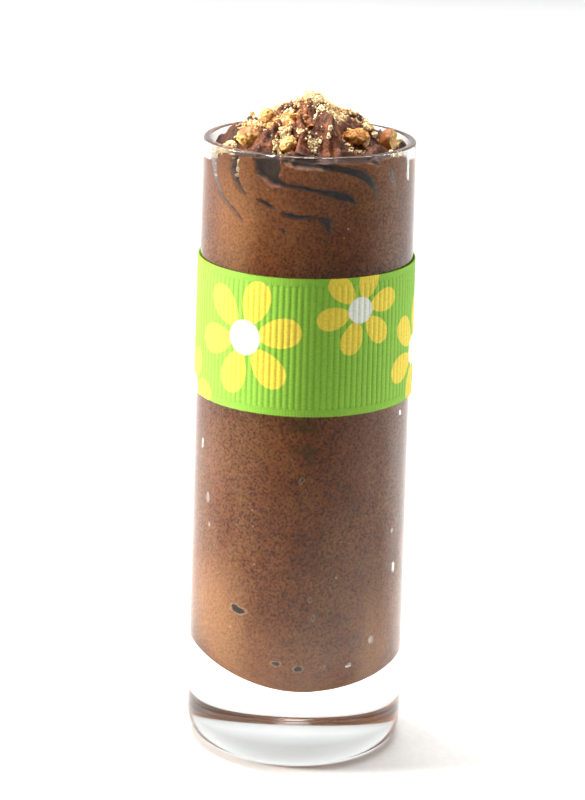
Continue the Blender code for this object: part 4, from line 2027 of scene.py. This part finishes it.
@dataclass
class Studio:
    """A plain pale floor, soft lights and the camera."""

    target: Vector = field(default_factory=lambda: Vector((-0.00166, 0.0, 0.05989)))
    distance: float = 0.4362
    elevation: float = 16.48
    roll: float = 1.65
    lens: float = 116.08
    floor_size: float = 6.0
    world_front: float = 0.03
    world_back: float = 1.0
    world_above: float = 0.40
    lights: tuple[Softbox, ...] = (
        Softbox("key_left", -88, 0.60, 0.23, 0.30, 0.66, 24, tone="#fffaf4"),
        Softbox("fill_right", 96, 0.60, 0.23, 0.26, 0.125, 24),
        Softbox("hair_left", -135, 0.20, 0.60, 0.08, 0.045, 16, (0.0, 0.0, 0.10)),
        Softbox("crown_left", -55, 0.34, 0.46, 0.10, 0.016, 15, (0.0, 0.0, 0.112), "#fffaf4"),
        Softbox("overhead", 180, 0.52, 0.90, 1.10, 4.3, 36, (0.0, 0.52, 0.0)),
    )

    def build_floor(self) -> None:
        """Lay the floor."""
        deselect()
        bpy.ops.mesh.primitive_grid_add(x_subdivisions=8, y_subdivisions=8, size=self.floor_size)
        floor = named("floor")
        floor.data.materials.append(MattPaper().make())

    def build_lights(self) -> None:
        """Hang each softbox, turned to the middle of the glass."""
        for light in self.lights:
            deselect()
            spot = Vector(place(light.azimuth, light.distance, light.up))
            bpy.ops.object.light_add(type="AREA", location=spot)
            made = bpy.context.object
            made.name = light.name
            made.data.size = light.size
            made.data.energy = light.power
            made.data.spread = math.radians(light.spread)
            made.data.color = linear(light.tone)[:3]
            aim = Vector(light.aim) - spot
            made.rotation_euler = aim.to_track_quat("-Z", "Y").to_euler()

    def build_world(self) -> None:
        """Light the room from behind and the sides, low down, and less from above and the front."""
        world = bpy.data.worlds.new("white_room")
        bpy.context.scene.world = world
        world.use_nodes = True
        tree = world.node_tree
        way = add_node(tree, "TexCoord").outputs["Generated"]
        split = add_node(tree, "SeparateXYZ", links={0: way})
        left = maths(tree, "MULTIPLY_ADD", split.outputs[0], -0.22, 0.52)
        share = maths(tree, "MULTIPLY_ADD", split.outputs[1], 1.1, left, held=True)
        low = maths(tree, "MULTIPLY_ADD", split.outputs[2], -2.4, 1.75, held=True)
        back = maths(tree, "MULTIPLY_ADD", low, self.world_back - self.world_above, self.world_above)
        strength = maths(tree, "MULTIPLY_ADD", share, back, self.world_front)
        tree.links.new(strength, tree.nodes["Background"].inputs["Strength"])
        tree.nodes["Background"].inputs["Color"].default_value = (1.0, 1.0, 1.0, 1.0)

    def build_camera(self) -> None:
        """Set the camera in front of the glass, looking a little down, and tipped slightly."""
        deselect()
        lift = math.radians(self.elevation)
        back = Vector((0.0, -math.cos(lift), math.sin(lift)))
        bpy.ops.object.camera_add(location=self.target + back * self.distance)
        camera = bpy.context.object
        camera.name = "camera"
        camera.data.lens = self.lens
        camera.data.clip_start = 0.01
        camera.rotation_mode = "QUATERNION"
        tipped = Matrix.Rotation(math.radians(self.roll), 3, "Z").to_quaternion()
        camera.rotation_quaternion = (-back).to_track_quat("-Z", "Y") @ tipped
        bpy.context.scene.camera = camera

    def build(self) -> None:
        """Set up the whole studio."""
        bpy.context.scene.view_settings.view_transform = "Standard"
        self.build_floor()
        self.build_world()
        self.build_lights()
        self.build_camera()


# azimuth and height, reach, and turn in degrees of each printed daisy, lengths in millimetres
DAISIES = (
    (-32.5, 74.8, 10.0, 12),
    (29.5, 79.9, 7.6, 13),
    (80, 70.3, 9.2, 18),
    (128, 79.4, 7.6, 35),
    (176, 70.4, 9.6, 28),
    (227, 79.6, 7.8, 44),
    (279.5, 63.0, 7.8, 6),
)

# how each chunk broke, its colours, and how far it is turned and tipped, in degrees
NUT_LOOKS = {
    "nut_1": (NutCut.SMEARED, NutTone.GOLDEN, 20, 10),
    "nut_2": (NutCut.CRUMBLY, NutTone.CREAM, 60, 0),
    "nut_3": (NutCut.CRUMBLY, NutTone.TOASTED, 25, 0),
    "nut_4": (NutCut.SKINNED, NutTone.CREAM, 20, 10),
    "nut_5": (NutCut.HALF, NutTone.CREAM, 10, 0),
    "nut_6": (NutCut.HALF, NutTone.GOLDEN, 50, 0),
    "nut_7": (NutCut.CRUMBLY, NutTone.CREAM, -30, 0),
}

FINE_HEAPS = (
    Heap(40, 0.8, 2.2, 420, (0.22, 0.5), (0.55, 1.0), 1.3, 6),
    Heap(14, 1.8, 1.5, 330, (0.22, 0.5), (0.6, 1.0), 1.2, 6),
    Heap(60, 1.8, 1.4, 260, (0.22, 0.5), (0.6, 1.0), 1.2, 5),
    Heap(70, 3.2, 2.2, 330, (0.22, 0.5), (0.5, 1.0), 0.9, 7),
    Heap(-60, 2.0, 1.6, 110, (0.22, 0.5), (0.3, 1.0), 0.7, 5),
    Heap(-48, 5.2, 2.0, 210, (0.22, 0.5), (0.2, 0.9), 0.8, 6),
    Heap(-60, 8.4, 2.2, 120, (0.22, 0.5), (0.1, 0.9), 0.7, 6),
    Heap(-44, 9.6, 1.6, 120, (0.22, 0.5), (0.4, 1.0), 0.7, 5),
    Heap(-20, 11.4, 1.1, 260, (0.25, 0.6), (0.5, 1.0), 1.3, 4),
    Heap(-24, 12.6, 0.8, 110, (0.25, 0.5), (0.5, 1.0), 1.0, 3),
    Heap(40, 5.4, 1.6, 90, (0.2, 0.45), (0.3, 1.0), 0.6, 5),
    Heap(80, 7.6, 2.0, 170, (0.22, 0.5), (0.1, 1.0), 0.6, 8),
    Heap(54, 9.4, 1.8, 130, (0.22, 0.5), (0.2, 0.9), 0.8, 5),
    Heap(18, 7.6, 0.9, 90, (0.22, 0.5), (0.5, 1.0), 0.8, 3),
    Heap(4, 12.4, 1.1, 130, (0.22, 0.5), (0.6, 1.0), 0.9, 4),
    Heap(34, 12.8, 1.5, 70, (0.18, 0.36), (0.3, 1.0), 0.4, 6),
    Heap(-66, 14.2, 1.2, 110, (0.25, 0.5), (0.6, 1.0), 0.5, 4),
    Heap(97, 13.4, 1.2, 140, (0.25, 0.5), (0.5, 1.0), 0.9, 4),
    Heap(-85, 10.0, 2.4, 120, (0.22, 0.5), (0.3, 1.0), 0.5, 6),
    Heap(130, 6.5, 3.0, 230, (0.22, 0.5), (0.2, 1.0), 0.6, 8),
    Heap(176, 7.5, 3.2, 260, (0.22, 0.5), (0.4, 1.0), 0.6, 8),
    Heap(222, 7.0, 3.2, 260, (0.22, 0.5), (0.4, 1.0), 0.6, 8),
    Heap(262, 8.5, 2.6, 160, (0.22, 0.5), (0.4, 1.0), 0.5, 7),
    Heap(0, 0.0, 8.0, 330, (0.16, 0.32), (0.1, 1.0), 0.5, 1),
)
MEDIUM_HEAPS = (
    Heap(50, 1.4, 1.6, 12, (0.6, 1.0), (0.7, 1.0), 0.5, 1),
    Heap(70, 3.4, 2.0, 14, (0.6, 1.1), (0.5, 1.0), 0.4, 1),
    Heap(-50, 5.2, 1.8, 14, (0.6, 1.2), (0.4, 1.0), 0.4, 1),
    Heap(-66, 6.2, 0.5, 3, (1.1, 1.6), (0.18, 0.26), 0.3, 1),
    Heap(-13, 6.8, 0.4, 3, (1.1, 1.5), (0.2, 0.26), 0.3, 1),
    Heap(-15, 9.6, 0.6, 6, (1.1, 1.6), (0.2, 0.25), 0.5, 1),
    Heap(-60, 8.6, 1.8, 12, (0.7, 1.2), (0.3, 1.0), 0.4, 1),
    Heap(-20, 11.6, 0.9, 14, (0.8, 1.5), (0.7, 1.0), 0.7, 1),
    Heap(18, 7.4, 0.7, 3, (0.8, 1.3), (0.7, 1.0), 0.4, 1),
    Heap(4, 12.6, 0.8, 6, (0.7, 1.1), (0.8, 1.0), 0.4, 1),
    Heap(50, 8.4, 1.2, 8, (0.7, 1.2), (0.3, 0.9), 0.4, 1),
    Heap(48, 10.6, 0.8, 10, (0.9, 1.6), (0.2, 0.3), 0.6, 1),
    Heap(58, 10.8, 0.7, 8, (0.8, 1.4), (0.5, 0.9), 0.6, 1),
    Heap(86, 9.6, 1.8, 12, (0.7, 1.2), (0.3, 1.0), 0.4, 1),
    Heap(99, 13.4, 0.9, 9, (0.8, 1.5), (0.6, 1.0), 0.5, 1),
    Heap(-64, 14.0, 0.9, 7, (0.8, 1.4), (0.5, 1.0), 0.3, 1),
    Heap(132, 7.0, 3.0, 20, (0.6, 1.2), (0.2, 1.0), 0.4, 1),
    Heap(178, 8.0, 3.2, 20, (0.6, 1.2), (0.2, 1.0), 0.4, 1),
    Heap(224, 7.5, 3.2, 20, (0.6, 1.2), (0.2, 1.0), 0.4, 1),
    Heap(264, 8.5, 2.6, 14, (0.6, 1.2), (0.2, 1.0), 0.4, 1),
)
WALL_CRUMBS = (
    WallCrumb(-43.5, 2.3, 1.4, 0.95),
    WallCrumb(-42.6, 3.4, 1.4, 0.85),
    WallCrumb(-44.6, 4.3, 0.8, 0.9),
    WallCrumb(-49, 1.5, 0.9, 0.9),
    WallCrumb(-72, 2.2, 1.3, 0.95),
    WallCrumb(-66, 2.4, 1.2, 0.9),
    WallCrumb(-76, 2.9, 1.0, 0.9),
    WallCrumb(-62, 1.6, 1.3, 0.95),
    WallCrumb(-57, 1.2, 1.0, 0.8),
    WallCrumb(-69, 1.4, 0.9, 0.9),
    WallCrumb(-64.5, 3.4, 0.5, 0.9),
    WallCrumb(-65.5, 4.6, 0.4, 0.8),
    WallCrumb(-63.5, 5.3, 0.4, 0.9),
    WallCrumb(-52, 0.9, 1.0, 0.9),
    WallCrumb(45.5, 2.4, 0.9, 0.22),
    WallCrumb(44, 3.3, 0.5, 0.3),
    WallCrumb(49.5, 3.5, 0.8, 0.9),
    WallCrumb(53, 1.4, 1.3, 0.9),
    WallCrumb(57, 0.8, 1.2, 0.95),
    WallCrumb(61, 1.0, 0.9, 0.8),
    WallCrumb(20, 3.2, 0.4, 0.95),
    WallCrumb(52, 5.0, 0.35, 0.9),
    WallCrumb(130, 1.8, 0.9, 0.9),
    WallCrumb(164, 2.6, 0.8, 0.7),
    WallCrumb(210, 1.6, 1.0, 0.9),
    WallCrumb(250, 2.2, 0.7, 0.9),
)


def pressed_places() -> tuple[Pressed, ...]:
    """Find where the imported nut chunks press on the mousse.

    Returns:
        A place for each chunk.
    """
    boxes = [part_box(name) for name in NUT_LOOKS]
    return tuple(
        Pressed((low.x + high.x) / 2, (low.y + high.y) / 2, max(high.x - low.x, high.y - low.y))
        for low, high in boxes
    )


def printed_daisies(ribbon: Ribbon) -> tuple[Daisy, ...]:
    """Turn the daisies' places on the glass to places on the flat ribbon.

    Args:
        ribbon: The ribbon that they are printed on.

    Returns:
        The daisies.
    """
    start = 180 - ribbon.lap / 2
    return tuple(
        Daisy(
            along=math.radians((azimuth - start) % 360) * ribbon.radius,
            across=up * MM - ribbon.middle + ribbon.width / 2,
            reach=reach * MM,
            turn=turn,
        )
        for azimuth, up, reach, turn in DAISIES
    )


def main() -> None:
    """Build each part in order and report it."""
    logging.basicConfig(level=logging.INFO, format="%(name)s: %(message)s")
    Studio().build()
    LOG.info("studio ready")
    form = GlassForm(height=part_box("glass")[1].z)
    piped = PipedForm(form, pressed_places())
    wetted = WhippedChocolate("chocolate_mousse_against_glass", specular=0.0, relief=0.4)
    plain = Ribbon(form, PrintedGrosgrain())
    makers: list[Any] = [
        ShotGlass(form, PressedGlass()),
        Mousse(piped, (wetted, WhippedChocolate())),
        Ribbon(form, PrintedGrosgrain(daisies=printed_daisies(plain))),
        CrumbScatter("nut_crumbs_fine", piped, FINE_HEAPS, seed=4),
        CrumbScatter("nut_bits_small", piped, MEDIUM_HEAPS, WALL_CRUMBS, fineness=2, seed=9),
    ]
    for node, (cut, tone, turn, tip) in NUT_LOOKS.items():
        makers.append(NutChunk(node, cut, tone, turn, tip))
    for maker in makers:
        piece = maker.build()
        LOG.info("%s: %d faces", piece.name, len(piece.data.polygons))


if __name__ == "__main__":
    main()
